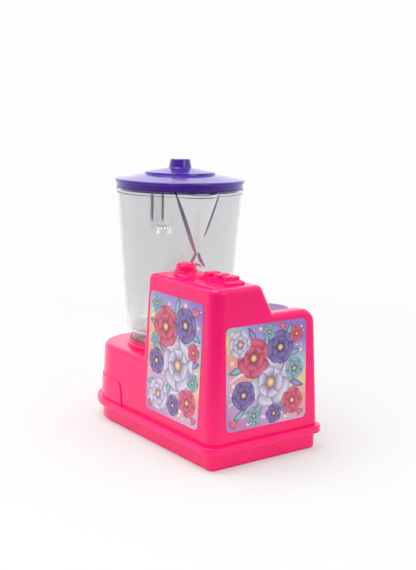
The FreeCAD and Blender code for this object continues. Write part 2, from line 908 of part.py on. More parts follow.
def motor_pinion():
    """The small gear on the motor's shaft; a tooth gap faces the large gear's tooth."""
    pinion = gear_outline(pinion_teeth, 0.0, motor_shaft_radius).extrude(UP * gear_thickness)
    pinion.translate(Vector(motor_x, jug_y, gear_low))
    return pinion


def motor_can():
    """The motor's steel can: a round barrel with two flats and a boss at the shaft end."""
    low = plate_low - motor_length
    barrel = cylinder(motor_radius, low, plate_low, motor_x, jug_y)
    flats = box(motor_x - motor_flat_width / 2, motor_x + motor_flat_width / 2, jug_y - 20, jug_y + 20, low, plate_low)
    can = barrel.common(flats)
    can = fused([can, cylinder(3.0, plate_low - 0.5, plate_low + 1.6, motor_x, jug_y)])
    return can.cut(cylinder(motor_shaft_radius + running_clearance, plate_low - 6, plate_low + 2, motor_x, jug_y))


def motor_cap():
    """The plastic end of the motor with its two terminals."""
    low = plate_low - motor_length
    cap = cylinder(motor_radius - 0.8, low - 2, low, motor_x, jug_y)
    flats = box(
        motor_x - motor_flat_width / 2 + 0.8, motor_x + motor_flat_width / 2 - 0.8, jug_y - 20, jug_y + 20, low - 2, low
    )
    cap = cap.common(flats)
    pieces = [cap, cylinder(2.6, low - 3.2, low - 1, motor_x, jug_y)]
    for side in (-1, 1):
        y = jug_y + side * 5.5
        pieces.append(box(motor_x - 1, motor_x + 1, y - 0.25, y + 0.25, low - 5, low - 1))
    return fused(pieces)


def motor_shaft():
    return cylinder(motor_shaft_radius, plate_low - motor_shaft_depth, gear_top - 0.2, motor_x, jug_y)


def motor_plate():
    """The plate that carries the motor and the drive shaft's lower end."""
    xs = [x for x, _ in pillar_places]
    ys = [y for _, y in pillar_places]
    margin = pillar_radius + 1.0
    plate = rounded_box(
        min(xs) - margin, max(xs) + margin, min(ys) - margin, max(ys) + margin, plate_low, plate_top, pillar_radius
    )
    hub = cylinder(shaft_radius + 2.5, plate_low - 4, plate_low + 0.5, jug_x, jug_y)
    plate = fused([plate, hub])
    plate = plate.cut(cylinder(shaft_radius + running_clearance, plate_low - 5, plate_top + 1, jug_x, jug_y))
    plate = plate.cut(cylinder(3.05, plate_low - 1, plate_top + 1, motor_x, jug_y))
    for x, y in pillar_places:
        plate = plate.cut(cylinder(small_screw_radius + 0.2, plate_low - 1, plate_top + 1, x, y))
    return plate


def drive_shaft():
    return cylinder(shaft_radius, plate_low - 3.6, dog_top - 1, jug_x, jug_y)


def shaft_bush():
    """The flanged bush pressed into the housing's hub."""
    barrel = tube(bush_radius, shaft_radius + running_clearance, platform_ceiling - 3.4, platform_height + 0.6)
    lip = tube(bush_radius + 1.2, shaft_radius + running_clearance, platform_height + 0.6, platform_height + 1.1)
    bush = fused([barrel, lip])
    bush.translate(Vector(jug_x, jug_y, 0))
    return bush


def dog_form(hub, lug, width, z_low, z_high):
    """A hub with four drive lugs."""
    pieces = [cylinder(hub, z_low, z_high)]
    pieces.append(box(-lug, lug, -width / 2, width / 2, z_low, z_high))
    pieces.append(box(-width / 2, width / 2, -lug, lug, z_low, z_high))
    return fused(pieces)


def drive_dog():
    """The four-lug coupling on top of the drive shaft, on a round neck that lifts it clear of the collar."""
    dog = dog_form(dog_hub_radius, dog_lug_radius, dog_lug_width, dog_low, dog_top)
    dog = dog.common(cylinder(dog_lug_radius, dog_low, dog_top))
    dog = fused([dog, cylinder(dog_hub_radius, dog_neck_low, dog_low + dog_step)])
    dog = dog.cut(cylinder(shaft_radius, dog_neck_low - 1, dog_top - 1))
    dog.translate(Vector(jug_x, jug_y, 0))
    return dog


def driven_dog():
    """The socket under the jug that drops over the drive dog."""
    high = jug_bottom - 0.4
    body = cylinder(driven_dog_radius, driven_dog_low, high)
    grow = dog_clearance
    pocket_high = dog_top + 0.5
    pocket = dog_form(
        dog_hub_radius + grow, dog_lug_radius + grow, dog_lug_width + 2 * grow, driven_dog_low - 1, pocket_high
    )
    body = body.cut(pocket).cut(cylinder(blade_shaft_radius, pocket_high - 1, high + 1))
    body.translate(Vector(jug_x, jug_y, 0))
    return body


def blade_shaft():
    return cylinder(blade_shaft_radius, dog_top + 0.7, blade_low + blade_height - 2, jug_x, jug_y)


def blade_bush():
    """The bush and seal that carry the blade shaft through the jug's floor."""
    bore = blade_shaft_radius + running_clearance
    barrel = tube(blade_bush_radius, bore, jug_bottom - 0.2, jug_floor_top + 0.2)
    lip = tube(blade_bush_radius + 2, bore, jug_floor_top, jug_floor_top + 1.2)
    bush = fused([barrel, lip])
    bush.translate(Vector(jug_x, jug_y, 0))
    return bush


def blade_rotor():
    """A hub with four swept, pitched blades and a domed cap."""
    hub_radius = 5.0
    outline = rounded_face(
        [
            Vector(0, 0, 0),
            Vector(hub_radius, 0, 0),
            Vector(hub_radius - 0.8, 0, blade_height),
            Vector(0, 0, blade_height),
        ],
        [0, 0, 2.5, 0],
    )
    pieces = [outline.revolve(Vector(0, 0, 0), UP, 360)]
    for index in range(4):
        lift = 1.5 if index % 2 else 4.5
        rise = 22 if index % 2 else -18
        blade = polygon_face([
            Vector(2, -3.2, -0.6),
            Vector(blade_radius - 3, -3.0, -0.6),
            Vector(blade_radius, 0.6, -0.6),
            Vector(blade_radius - 6, 3.0, -0.6),
            Vector(2, 3.2, -0.6),
        ]).extrude(UP * 1.2)
        blade.rotate(Vector(0, 0, 0), ALONG, rise)
        blade.translate(Vector(0, 0, lift))
        blade.rotate(Vector(0, 0, 0), UP, 90 * index)
        pieces.append(blade)
    rotor = fused(pieces).cut(cylinder(blade_shaft_radius, -1, blade_height - 2))
    rotor.translate(Vector(jug_x, jug_y, blade_low))
    return rotor


# ---------------------------------------------------------------- jug and lid
def jug_wall_solid():
    """The tapered wall, floor and foot ring, open at the top."""
    outer = rounded_face(
        [
            Vector(0, 0, jug_bottom),
            Vector(jug_bottom_radius, 0, jug_bottom),
            Vector(jug_top_radius, 0, jug_top),
            Vector(0, 0, jug_top),
        ],
        [0, jug_edge_radius, 0, 0],
    ).revolve(Vector(0, 0, 0), UP, 360)
    foot = tube(jug_foot_radius, jug_foot_radius - jug_foot_wall, foot_low, jug_bottom + 1)
    bead = tube(jug_top_radius + rim_bead_proud, jug_top_radius - jug_wall, jug_top - rim_bead_height, jug_top)
    return [outer, foot, bead]


def jug_hollow():
    """The space inside the jug's wall."""
    low_radius = jug_bottom_radius - jug_wall
    return rounded_face(
        [
            Vector(0, 0, jug_floor_top),
            Vector(low_radius + jug_floor_thickness * jug_slope, 0, jug_floor_top),
            Vector(jug_top_radius - jug_wall + jug_slope * 5, 0, jug_top + 5),
            Vector(0, 0, jug_top + 5),
        ],
        [0, jug_edge_radius, 0, 0],
    ).revolve(Vector(0, 0, 0), UP, 360)


def spout_form(skin):
    """The pouring lip: an oblique cone that leaves the wall low down and stands proud at the rim."""
    reach = jug_top_radius + spout_proud - spout_radius
    low = jug_top - spout_drop
    apex_radius = 1.2
    apex_reach = jug_radius_at(low) - apex_radius - 0.6
    high = jug_top + skin * 3
    stretch = (high - low) / spout_drop
    small = Part.Wire(Part.makeCircle(apex_radius, Vector(apex_reach - skin, 0, low)))
    reach_high = apex_reach + (reach - apex_reach) * stretch
    radius_high = apex_radius + (spout_radius - apex_radius) * stretch
    large = Part.Wire(Part.makeCircle(radius_high, Vector(reach_high - skin, 0, high)))
    return Part.makeLoft([small, large], True, True)


def lip_dip():
    """What is cut off the spout so that its lip dips below the rim."""
    tip = jug_top_radius + spout_proud
    face = polygon_face([
        Vector(jug_top_radius + 0.6, -40, jug_top),
        Vector(tip + 2, -40, jug_top - spout_lip_dip),
        Vector(tip + 2, -40, jug_top + 10),
        Vector(jug_top_radius + 0.6, -40, jug_top + 10),
    ])
    return face.extrude(ACROSS * 80)


def wall_ribs():
    """The forked rib below the spout: a short stem that splits into two legs on the jug's wall."""
    stem_high = jug_top - rib_top_drop
    fork = jug_top - rib_fork_drop
    foot = block_height + rib_foot_gap
    outline = rounded_face(
        [
            Vector(0, -2.4, stem_high),
            Vector(0, -2.8, fork),
            Vector(0, -rib_foot_reach, foot),
            Vector(0, rib_foot_reach, foot),
            Vector(0, 2.8, fork),
            Vector(0, 2.4, stem_high),
        ],
        [0, 6, 0, 0, 6, 0],
    )
    window = rounded_face(
        [
            Vector(0, -4.2, foot + 1.5),
            Vector(0, -4.8, foot - 1),
            Vector(0, 4.8, foot - 1),
            Vector(0, 4.2, foot + 1.5),
            Vector(0, 0, fork - 2.5),
        ],
        [1, 0, 0, 1, 2],
    )
    pad = outline.cut(window).extrude(ALONG * (2 * jug_top_radius))
    skin = cone(
        jug_radius_at(foot - 2) + rib_proud, jug_radius_at(stem_high + 2) + rib_proud, foot - 2, stem_high + 2
    )
    skin = skin.cut(cone(jug_radius_at(foot - 3) - 1, jug_radius_at(stem_high + 3) - 1, foot - 3, stem_high + 3))
    return pad.common(skin)


def handle():
    """The open handle: a channel-section strap in a plane through the jug's axis."""
    high = jug_top - rim_bead_height - 1
    low = high - handle_drop
    far = -jug_top_radius - handle_reach
    near_high = -jug_radius_at(high) + 1
    near_low = -jug_radius_at(low) + 1
    outer = rounded_face(
        [
            Vector(near_high, 0, high),
            Vector(far, 0, high),
            Vector(far, 0, low),
            Vector(near_low, 0, low),
        ],
        [0, 9, 13, 0],
    )
    gap = rounded_face(
        [
            Vector(-jug_radius_at(high - handle_strap) - 0.3, 0, high - handle_strap),
            Vector(far + handle_strap, 0, high - handle_strap),
            Vector(far + handle_strap, 0, low + handle_strap),
            Vector(-jug_radius_at(low + handle_strap) - 0.3, 0, low + handle_strap),
        ],
        [2, 5, 8, 2],
    )
    half = handle_width / 2
    strap = outer.cut(gap).extrude(ACROSS * handle_width)
    strap.translate(Vector(0, -half, 0))
    web = handle_web
    channel = rounded_face(
        [
            Vector(0, 0, high + 5),
            Vector(far - 5, 0, high + 5),
            Vector(far - 5, 0, low - 5),
            Vector(0, 0, low - 5),
        ],
        [0, 0, 0, 0],
    )
    kept = rounded_face(
        [
            Vector(5, 0, high - handle_strap + web),
            Vector(far + handle_strap - web, 0, high - handle_strap + web),
            Vector(far + handle_strap - web, 0, low + handle_strap - web),
            Vector(5, 0, low + handle_strap - web),
        ],
        [0, 5 + web, 8 + web, 0],
    )
    groove = channel.cut(kept).extrude(ACROSS * (handle_width - 2 * handle_flange))
    groove.translate(Vector(0, -half + handle_flange, 0))
    reach_limit = cylinder(jug_radius_at(high) + 0.6, low - 6, high + 6)
    return strap.cut(groove.cut(reach_limit))


def as_seated(shape):
    """Turn a form made about the jug's own axis to where it stands on the base."""
    shape.rotate(Vector(0, 0, 0), UP, jug_turn)
    shape.translate(Vector(jug_x, jug_y, 0))
    return shape


def jug_body():
    """The clear jug with its spout, handle and forked rib; the rib stops short of the button's ring."""
    body = fused(jug_wall_solid() + [spout_form(0).cut(lip_dip()), handle()])
    body = body.cut(jug_hollow()).cut(spout_form(jug_wall))
    body = body.cut(cylinder(blade_bush_radius, jug_bottom - 1, jug_floor_top + 1))
    high = block_height + button_collar_height + 0.5
    ring_space = cylinder(button_collar_radius + 0.4, block_height, high, button_x, button_y)
    return fused([as_seated(body), as_seated(wall_ribs()).cut(ring_space)])


def jug_lid():
    """The lid: brim, skirt and inner plug round a crowned top with a step and a hollow knob."""
    skirt_low = jug_top + lid_seat_gap
    brim_low = skirt_low + lid_skirt_height
    brim_high = brim_low + lid_brim_thickness
    step_low = brim_high + lid_crown_rise
    step_high = step_low + lid_step_height + lid_dome_rise
    knob_high = step_high + lid_knob_height
    plug_outer = jug_top_radius - jug_wall - lid_plug_clearance
    plug_low = skirt_low - lid_plug_depth
    plug_slope = lid_plug_depth * jug_slope
    outer = rounded_face(
        [
            Vector(0, 0, skirt_low),
            Vector(lid_skirt_radius, 0, skirt_low),
            Vector(lid_skirt_radius, 0, brim_low),
            Vector(lid_brim_radius, 0, brim_low),
            Vector(lid_brim_radius, 0, brim_high),
            Vector(lid_step_radius + 0.6, 0, step_low),
            Vector(lid_step_radius, 0, step_low + lid_step_height),
            Vector(lid_knob_base_radius + 0.4, 0, step_high),
            Vector(lid_knob_top_radius, 0, knob_high),
            Vector(0, 0, knob_high),
        ],
        [0, 0.5, 0, 0.8, 1.1, 0.4, 0.4, 1.2, 1.2, 0],
    ).revolve(Vector(0, 0, 0), UP, 360)
    plug = cone(plug_outer - plug_slope, plug_outer, plug_low, skirt_low + 0.5)
    inside = rounded_face(
        [
            Vector(0, 0, plug_low - 1),
            Vector(plug_outer - plug_slope - lid_wall, 0, plug_low - 1),
            Vector(plug_outer - lid_wall, 0, brim_high - lid_wall),
            Vector(lid_step_radius, 0, step_low - lid_wall),
            Vector(lid_step_radius - lid_wall, 0, step_low + lid_step_height - lid_wall),
            Vector(lid_knob_base_radius - lid_wall, 0, step_high - lid_wall),
            Vector(lid_knob_top_radius - lid_wall, 0, knob_high - lid_wall),
            Vector(0, 0, knob_high - lid_wall),
        ],
        [0, 0, 1.5, 0.5, 0.5, 0.5, 1.0, 0],
    ).revolve(Vector(0, 0, 0), UP, 360)
    lid = fused([outer, plug]).cut(inside)
    lid.translate(Vector(jug_x, jug_y, 0))
    return lid


def cup():
    """The small drinking cup: a tapered wall with a rolled rim and a recessed base."""
    low = bay_floor + seat_gap
    high = low + cup_height
    outer = rounded_face(
        [
            Vector(0, 0, low),
            Vector(cup_base_radius, 0, low),
            Vector(cup_rim_radius - 0.8, 0, high - 2.2),
            Vector(cup_rim_radius, 0, high - 2.2),
            Vector(cup_rim_radius, 0, high),
            Vector(0, 0, high),
        ],
        [0, 1.5, 0.5, 0.6, 0.8, 0],
    ).revolve(Vector(0, 0, 0), UP, 360)
    hollow = rounded_face(
        [
            Vector(0, 0, low + 3),
            Vector(cup_base_radius - cup_wall + 0.2, 0, low + 3),
            Vector(cup_rim_radius - cup_wall - 0.6, 0, high + 1),
            Vector(0, 0, high + 1),
        ],
        [0, 2.5, 0, 0],
    ).revolve(Vector(0, 0, 0), UP, 360)
    recess = cylinder(cup_base_radius - 2.4, low - 1, low + 1.2)
    shape = outer.cut(hollow).cut(recess)
    shape.translate(Vector(cup_x, cup_y, 0))
    return shape


# ---------------------------------------------------------------- controls
def scoop_clearance():
    """The space beside the scoop's wall that the parts under the block's top stay out of."""
    clear = jug_radius_at(block_ceiling) + lift_clearance + housing_wall + 0.5
    return cylinder(clear, board_top - 5, block_ceiling, jug_x, jug_y)


def power_button():
    """The round button: a softly dished dome on a stem with a retaining flange."""
    low = board_top + 3.4
    flange_high_z = block_ceiling - 0.3
    dome_high = block_height + button_proud
    outline = rounded_face(
        [
            Vector(0, 0, low),
            Vector(2.2, 0, low),
            Vector(2.2, 0, flange_high_z - control_flange),
            Vector(button_radius + control_flange_reach, 0, flange_high_z - control_flange),
            Vector(button_radius + control_flange_reach, 0, flange_high_z),
            Vector(button_radius, 0, flange_high_z),
            Vector(button_radius - 0.5, 0, dome_high),
            Vector(3.2, 0, dome_high),
            Vector(0, 0, dome_high - 0.5),
        ],
        [0, 0, 0, 0, 0, 0, 2.8, 0, 0],
    )
    button = outline.revolve(Vector(0, 0, 0), UP, 360)
    button.translate(Vector(button_x, button_y, 0))
    return button.cut(scoop_clearance())


def button_spring():
    """The coil that lifts the button, round its stem."""
    low = board_top + 0.4
    high = block_ceiling - 0.3 - control_flange - 0.4
    wire = 0.4
    turns = 4
    helix = Part.makeHelix((high - low) / turns, high - low, 3.6)
    section = Part.Wire(Part.makeCircle(wire, Vector(3.6, 0, 0), ACROSS))
    coil = Part.Wire(helix.Edges).makePipeShell([section], True, True)
    coil.translate(Vector(button_x, button_y, low))
    return coil


def key(index):
    """One key: a cap through the panel, a retaining flange and a stem to its switch."""
    x, y = key_centres()[index]
    flange_top = block_ceiling - 0.3
    high = block_height + key_pad_height + key_pad_rise + key_proud
    cap = key_block(0, flange_top - 0.5, high, x, y)
    crown = edges_where(cap, lambda point, edge: abs(point.z - high) < 0.01)
    cap = cap.makeFillet(1.1, crown)
    flange = key_block(control_flange_reach, flange_top - control_flange, flange_top, x, y)
    stem_low = board_top + switch_height + key_travel + switch_gap
    stem = cylinder(key_stem_radius, stem_low, flange_top - control_flange + 0.5, x, y)
    return fused([cap, flange, stem])


def circuit_board():
    """The board under the controls, cut back on the jug side to clear the scoop."""
    low = board_top - board_thickness
    board = rounded_box(
        board_low_x, board_high_x, board_low_y, board_high_y, low, board_top, board_corner_radius
    )
    board = board.cut(scoop_clearance())
    for x, y in board_post_places:
        board = board.cut(cylinder(small_screw_radius + 0.2, low - 1, board_top + 1, x, y))
    return board


def board_chip():
    """The moulded sound chip on the board's underside."""
    high = board_top - board_thickness
    return rounded_box(board_low_x + 36, board_low_x + 48, board_low_y + 3, board_low_y + 13, high - 2, high, 1.0)


def tact_switch(x, y):
    half, high = switch_half, board_top + switch_body_height
    body = box(x - half, x + half, y - half, y + half, board_top, high)
    return fused([body, cylinder(key_stem_radius, high - 0.6, board_top + switch_height, x, y)])


def key_switches():
    return Part.makeCompound([tact_switch(x, y) for x, y in key_centres()])


def button_switch():
    """The push switch under the round button, small enough to sit inside the coil."""
    return cylinder(2.6, board_top, board_top + 0.8, button_x, button_y)


# ---------------------------------------------------------------- stickers
def sticker(width, height):
    """A thin printed label with rounded corners, lying on the wall of a drafted face."""
    reach = width / 2
    points = [Vector(-reach, 0, 0), Vector(reach, 0, 0), Vector(reach, 0, height), Vector(-reach, 0, height)]
    label = rounded_face(points, [sticker_corner_radius] * 4).extrude(ACROSS * -sticker_thickness)
    label.rotate(Vector(0, 0, 0), ALONG, -draft)
    return label


def front_sticker():
    label = sticker(front_sticker_width, front_sticker_height)
    label.translate(Vector(front_sticker_x, -half_width + inset_at(front_sticker_low), front_sticker_low))
    return label


def side_sticker():
    label = sticker(side_sticker_width, side_sticker_height)
    label.rotate(Vector(0, 0, 0), UP, 90)
    label.translate(Vector(half_length - inset_at(side_sticker_low), side_sticker_y, side_sticker_low))
    return label


def main():
    os.makedirs("parts", exist_ok=True)
    save("upper_housing", upper_housing())
    save("base_tray", base_tray())
    save("cell_door", cell_door())
    save("door_screw", door_screw())
    save("housing_screws", housing_screws())
    save("plate_screws", small_screws(pillar_places, plate_low, plate_thickness))
    save("board_screws", small_screws(board_post_places, board_top - board_thickness, board_thickness))
    for index in range(cell_count):
        save(f"battery_cell_{index + 1}", cell(index))
    save("cell_contacts", cell_contacts())
    save("speaker", speaker())
    save("motor_can", motor_can())
    save("motor_cap", motor_cap())
    save("motor_shaft", motor_shaft())
    save("motor_pinion", motor_pinion())
    save("motor_plate", motor_plate())
    save("drive_gear", drive_gear())
    save("drive_shaft", drive_shaft())
    save("drive_dog", drive_dog())
    save("shaft_bush", shaft_bush())
    save("driven_dog", driven_dog())
    save("blade_shaft", blade_shaft())
    save("blade_bush", blade_bush())
    save("blade_rotor", blade_rotor())
    save("jug_body", jug_body())
    save("jug_lid", jug_lid())
    save("cup", cup())
    save("power_button", power_button())
    save("button_spring", button_spring())
    for index in range(key_count):
        save(f"key_{index + 1}", key(index))
    save("circuit_board", circuit_board())
    save("board_chip", board_chip())
    save("key_switches", key_switches())
    save("button_switch", button_switch())
    save("front_sticker", front_sticker())
    save("side_sticker", side_sticker())


if __name__ == "__main__":
    main()
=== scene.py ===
"""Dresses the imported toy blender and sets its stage. Sizes are in metres on the part's own axes: the floor is
z 0, +X runs from the jug to the control block and -Y is the side with the large label."""

import math

import bmesh
import bpy
from bpy.props import FloatProperty, FloatVectorProperty, IntProperty, PointerProperty
from mathutils import Matrix, Vector


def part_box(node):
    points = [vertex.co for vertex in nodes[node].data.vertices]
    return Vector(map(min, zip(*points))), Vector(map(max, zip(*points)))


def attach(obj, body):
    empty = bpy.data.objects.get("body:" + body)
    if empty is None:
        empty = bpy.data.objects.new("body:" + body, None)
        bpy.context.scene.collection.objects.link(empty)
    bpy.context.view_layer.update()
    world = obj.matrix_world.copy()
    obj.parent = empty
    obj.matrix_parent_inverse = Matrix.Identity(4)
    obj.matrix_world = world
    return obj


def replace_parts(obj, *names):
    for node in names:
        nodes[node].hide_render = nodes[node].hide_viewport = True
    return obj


bl_info = {
    "name": "Toy Blender",
    "version": (1, 0, 0),
    "blender": (4, 5, 0),
    "location": "3D View > Sidebar > Toy Blender",
    "description": "Gives a packed toy blender its finishes, labels, screws and studio",
    "category": "Object",
}

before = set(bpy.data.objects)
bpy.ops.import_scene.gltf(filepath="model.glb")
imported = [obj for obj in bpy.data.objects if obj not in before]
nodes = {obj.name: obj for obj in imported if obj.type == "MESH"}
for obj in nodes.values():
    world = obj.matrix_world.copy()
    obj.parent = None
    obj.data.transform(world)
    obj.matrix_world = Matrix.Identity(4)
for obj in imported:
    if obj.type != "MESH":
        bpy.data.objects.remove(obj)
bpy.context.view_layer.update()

MM = 0.001
UP = Vector((0, 0, 1))

# Degrees about the jug's axis, from +X to its spout.
JUG_TURN = -18.0

# How far the bands of a label's ground climb for each step across it.
LABEL_SLANT = 0.45

# Heights between which the jug's foot clears to the wall above it, and distances from the jug's axis between
# which the wall and the spout give way to the handle.
FOOT_HEIGHTS = (76 * MM, 88 * MM)
GRIP_REACHES = (58.5 * MM, 61 * MM)

# Heights between which a clear edge's colour changes from a painted reflection of the pink housing to a painted
# dusky shade, on the spout and its rib and on the handle.
EDGE_HEIGHTS = (128 * MM, 165 * MM)
GRIP_HEIGHTS = (0, 130 * MM)


# ---------------------------------------------------------------- settings


def length(label, millimetres, about):
    """A size that a user may change, kept in metres."""
    return FloatProperty(name=label, description=about, default=millimetres * MM, unit="LENGTH", precision=5)


def colour(label, value, about):
    """A colour that a user may change, as linear red, green and blue."""
    limits = {"size": 3, "min": 0, "max": 1}
    return FloatVectorProperty(name=label, description=about, default=value, subtype="COLOR", **limits)


def power(label, watts, about):
    """A lamp's power that a user may change."""
    return FloatProperty(name=label, description=about, default=watts, unit="POWER")


class ToyBlenderColours(bpy.types.PropertyGroup):
    """The colours of the mouldings, of the clear edges' painted reflection and shade, and of the labels' print.
    """

    housing: colour("Housing", (0.980, 0.005, 0.165), "Moulded housing, tray, door, button and keys")
    lid: colour("Lid", (0.066, 0.019, 0.310), "Jug lid")
    cup: colour("Cup", (0.660, 0.620, 0.880), "Drinking cup and blade")
    jug: colour("Jug", (0.790, 0.792, 0.800), "Tint of the clear jug")
    # The clear edges' two colours are painted light: a painted pink reflection of the housing low down, and a
    # painted dusky shade near the lid.
    edge_housing_reflection_low: colour("Clear edge, low", (0.780, 0.360, 0.480), "Painted reflection of the pink housing on the clear edges, low down")
    edge_painted_shade_high: colour("Clear edge, high", (0.360, 0.300, 0.420), "Painted dusky shade on the clear edges, near the lid")
    label_high: colour("Label, high", (0.270, 0.180, 0.560), "Label ground near its top")
    label_warm: colour("Label, warm", (0.780, 0.330, 0.300), "Warm band across the label ground")
    label_cream: colour("Label, cream", (0.800, 0.580, 0.280), "Cream band across the label ground")
    label_low: colour("Label, low", (0.460, 0.200, 0.460), "Label ground near its foot")
    magenta: colour("Magenta print", (0.700, 0.012, 0.130), "Magenta blossoms and hearts")
    violet: colour("Violet print", (0.110, 0.025, 0.330), "Violet blossoms and leaves")
    lilac: colour("Lilac print", (0.420, 0.300, 0.640), "Large pale blossoms")
    teal: colour("Teal print", (0.030, 0.260, 0.400), "Teal blossoms and leaves")
    gold: colour("Gold print", (0.900, 0.420, 0.050), "Blossom middles and stars")


class ToyBlenderSizes(bpy.types.PropertyGroup):
    """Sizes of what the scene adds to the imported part."""

    ink: length("Ink layer", 0.03, "Height of one printed layer above the label")
    dot_radius: length("Dot radius", 0.9, "Radius of the largest printed dots")
    dot_margin: length("Dot margin", 2.5, "Plain edge of each label, outside the dots")
    dots: IntProperty(name="Dots", description="Small printed dots on each label", default=46, min=0)
    thread_pitch: length("Thread pitch", 0.9, "Pitch of the self-tapping screws")
    thread_depth: length("Thread depth", 0.28, "Depth of the screws' thread")
    bead: length("Bead", 0.8, "Half width of a clear edge of middling thickness")
    rim_drop: length("Rim drop", 3.6, "Distance from the jug's top down to the line under its rim")
    spout_drop: length("Spout drop", 48.5, "How far the spout runs down the jug's wall")
    spout_radius: length("Spout radius", 18.0, "Radius of the spout at the rim")
    spout_tip: length("Spout tip", 1.2, "Radius of the spout at its foot")
    spout_proud: length("Spout reach", 9.0, "How far the spout stands out at the rim")
    rib_spread: length("Rib spread", 6.6, "Half the spread of the forked rib's legs")
    grip_reach: length("Handle reach", 68.6, "Distance from the jug's axis to the handle's upright")
    grip_width: length("Handle rails", 9.4, "Distance between the handle's thick clear edges")
    grip_top: length("Handle top", 8.5, "Distance from the jug's top down to the rails")
    grip_length: length("Handle rail length", 26.0, "How long the rails are")
    jug_taper: FloatProperty(
        name="Jug taper",
        description="How much the wall's radius shrinks for each unit down",
        default=0.0735,
        min=0,
        max=0.3,
    )


class ToyBlenderStudio(bpy.types.PropertyGroup):
    """The floor and the lamps."""

    floor_reach: length("Floor reach", 1400, "Radius of the floor")
    ambient: FloatProperty(name="Ambient", description="Light from all round", default=0.8, min=0)
    key_power: power("Key lamp", 8.5, "Power of the overhead lamp")
    side_power: power("Side lamp", 2.2, "Power of the side lamp")


def colours():
    """The colour settings of this scene."""
    return bpy.context.scene.toy_blender_colours


def sizes():
    """The size settings of this scene."""
    return bpy.context.scene.toy_blender_sizes


def studio():
    """The studio settings of this scene."""
    return bpy.context.scene.toy_blender_studio


# ------------------------------------------------------------------- nodes


def feed(tree, value, socket):
    """Links a socket, or sets a fixed value, into another node's input."""
    if isinstance(value, bpy.types.NodeSocket):
        tree.links.new(value, socket)
    else:
        socket.default_value = value


def put(tree, kind, inputs=(), **settings):
    """A node of that kind, with its own settings and its inputs, each a fixed value or a socket."""
    node = tree.nodes.new(kind)
    for name, value in settings.items():
        setattr(node, name, value)
    for name, value in dict(inputs).items():
        feed(tree, value, node.inputs[name])
    return node


def worked(tree, operation, *values):
    """The result of one sum on numbers or sockets."""
    return put(tree, "ShaderNodeMath", enumerate(values), operation=operation).outputs[0]


def times(tree, first, second):
    """Two numbers or sockets multiplied."""
    return worked(tree, "MULTIPLY", first, second)


def plus(tree, first, second):
    """Two numbers or sockets added."""
    return worked(tree, "ADD", first, second)


def distance(tree, x, y):
    """How far a flat point lies from the middle."""
    return worked(tree, "SQRT", plus(tree, times(tree, x, x), times(tree, y, y)))


def combined(tree, x, y, z):
    """A vector from three numbers or sockets."""
    return put(tree, "ShaderNodeCombineXYZ", enumerate((x, y, z))).outputs[0]


def ranged(tree, value, low, high, from_low=0.3, from_high=0.7):
    """The value spread over a new range."""
    limits = {"From Min": from_low, "From Max": from_high, "To Min": low, "To Max": high}
    return put(tree, "ShaderNodeMapRange", {"Value": value, **limits}).outputs["Result"]


def blended(tree, factor, first, second):
    """A mix of two colours, each a fixed colour or a socket."""
    linked_ends = [isinstance(value, bpy.types.NodeSocket) for value in (first, second)]
    ends = [value if is_link else (*value[:3], 1) for value, is_link in zip((first, second), linked_ends)]
    return put(tree, "ShaderNodeMix", {0: factor, 6: ends[0], 7: ends[1]}, data_type="RGBA").outputs[2]


# --------------------------------------------------------------- materials


def new_finish(name, inputs=()):
    """A material with one main shader: the material, its tree and that shader."""
    material = bpy.data.materials.new(name)
    material.use_nodes = True
    tree = material.node_tree
    tree.nodes.clear()
    surface = put(tree, "ShaderNodeBsdfPrincipled", inputs)
    put(tree, "ShaderNodeOutputMaterial", {"Surface": surface.outputs["BSDF"]})
    return material, tree, surface


def place_parts(tree):
    """A point's place on the part, as x, y and z."""
    place = put(tree, "ShaderNodeTexCoord").outputs["Object"]
    return put(tree, "ShaderNodeSeparateXYZ", {0: place}).outputs


def noise(tree, scale, detail=3.0, distortion=0.0):
    """A noise pattern fixed to the piece, with its scale in features per metre."""
    place = put(tree, "ShaderNodeTexCoord").outputs["Object"]
    inputs = {"Vector": place, "Scale": scale, "Detail": detail, "Distortion": distortion}
    return put(tree, "ShaderNodeTexNoise", inputs).outputs["Fac"]


def coloured(tree, surface, value):
    """Gives a shader its colour."""
    tree.links.new(value, surface.inputs["Base Color"])


def roughened(tree, surface, low, high, scale):
    """Uneven gloss between two roughness values."""
    tree.links.new(ranged(tree, noise(tree, scale), low, high), surface.inputs["Roughness"])


def bumped(tree, surface, layers):
    """Bumps laid over each other, each given as its scale, height in metres and strength."""
    below = {}
    for scale, height, strength in layers:
        inputs = {"Strength": strength, "Distance": height, "Height": noise(tree, scale, 2.0), **below}
        below = {"Normal": put(tree, "ShaderNodeBump", inputs).outputs["Normal"]}
    tree.links.new(below["Normal"], surface.inputs["Normal"])


def shade(value, share):
    """A colour made lighter or darker."""
    return [min(1.0, part * share) for part in value[:3]]


def paler(value, share):
    """A colour moved towards white."""
    return [part + (1 - part) * share for part in value[:3]]


def moulded_plastic(name, value, gloss=(0.16, 0.27), scuff=0.2, shine=0.36):
    """Glossy moulded plastic: clouded colour, orange peel and faint pale scuffs."""
    material, tree, surface = new_finish(name, {"IOR": 1.5, "Specular IOR Level": shine})
    cloud = ranged(tree, noise(tree, 35), 0.0, 1.0)
    body = blended(tree, cloud, shade(value, 0.95), shade(value, 1.03))
    worn = ranged(tree, noise(tree, 260, 6, 1.5), 0.0, scuff, 0.72, 0.84)
    coloured(tree, surface, blended(tree, worn, body, paler(value, 0.3)))
    roughened(tree, surface, *gloss, 160)
    bumped(tree, surface, ((420, 0.00003, 0.3), (2600, 0.00001, 0.2)))
    return material


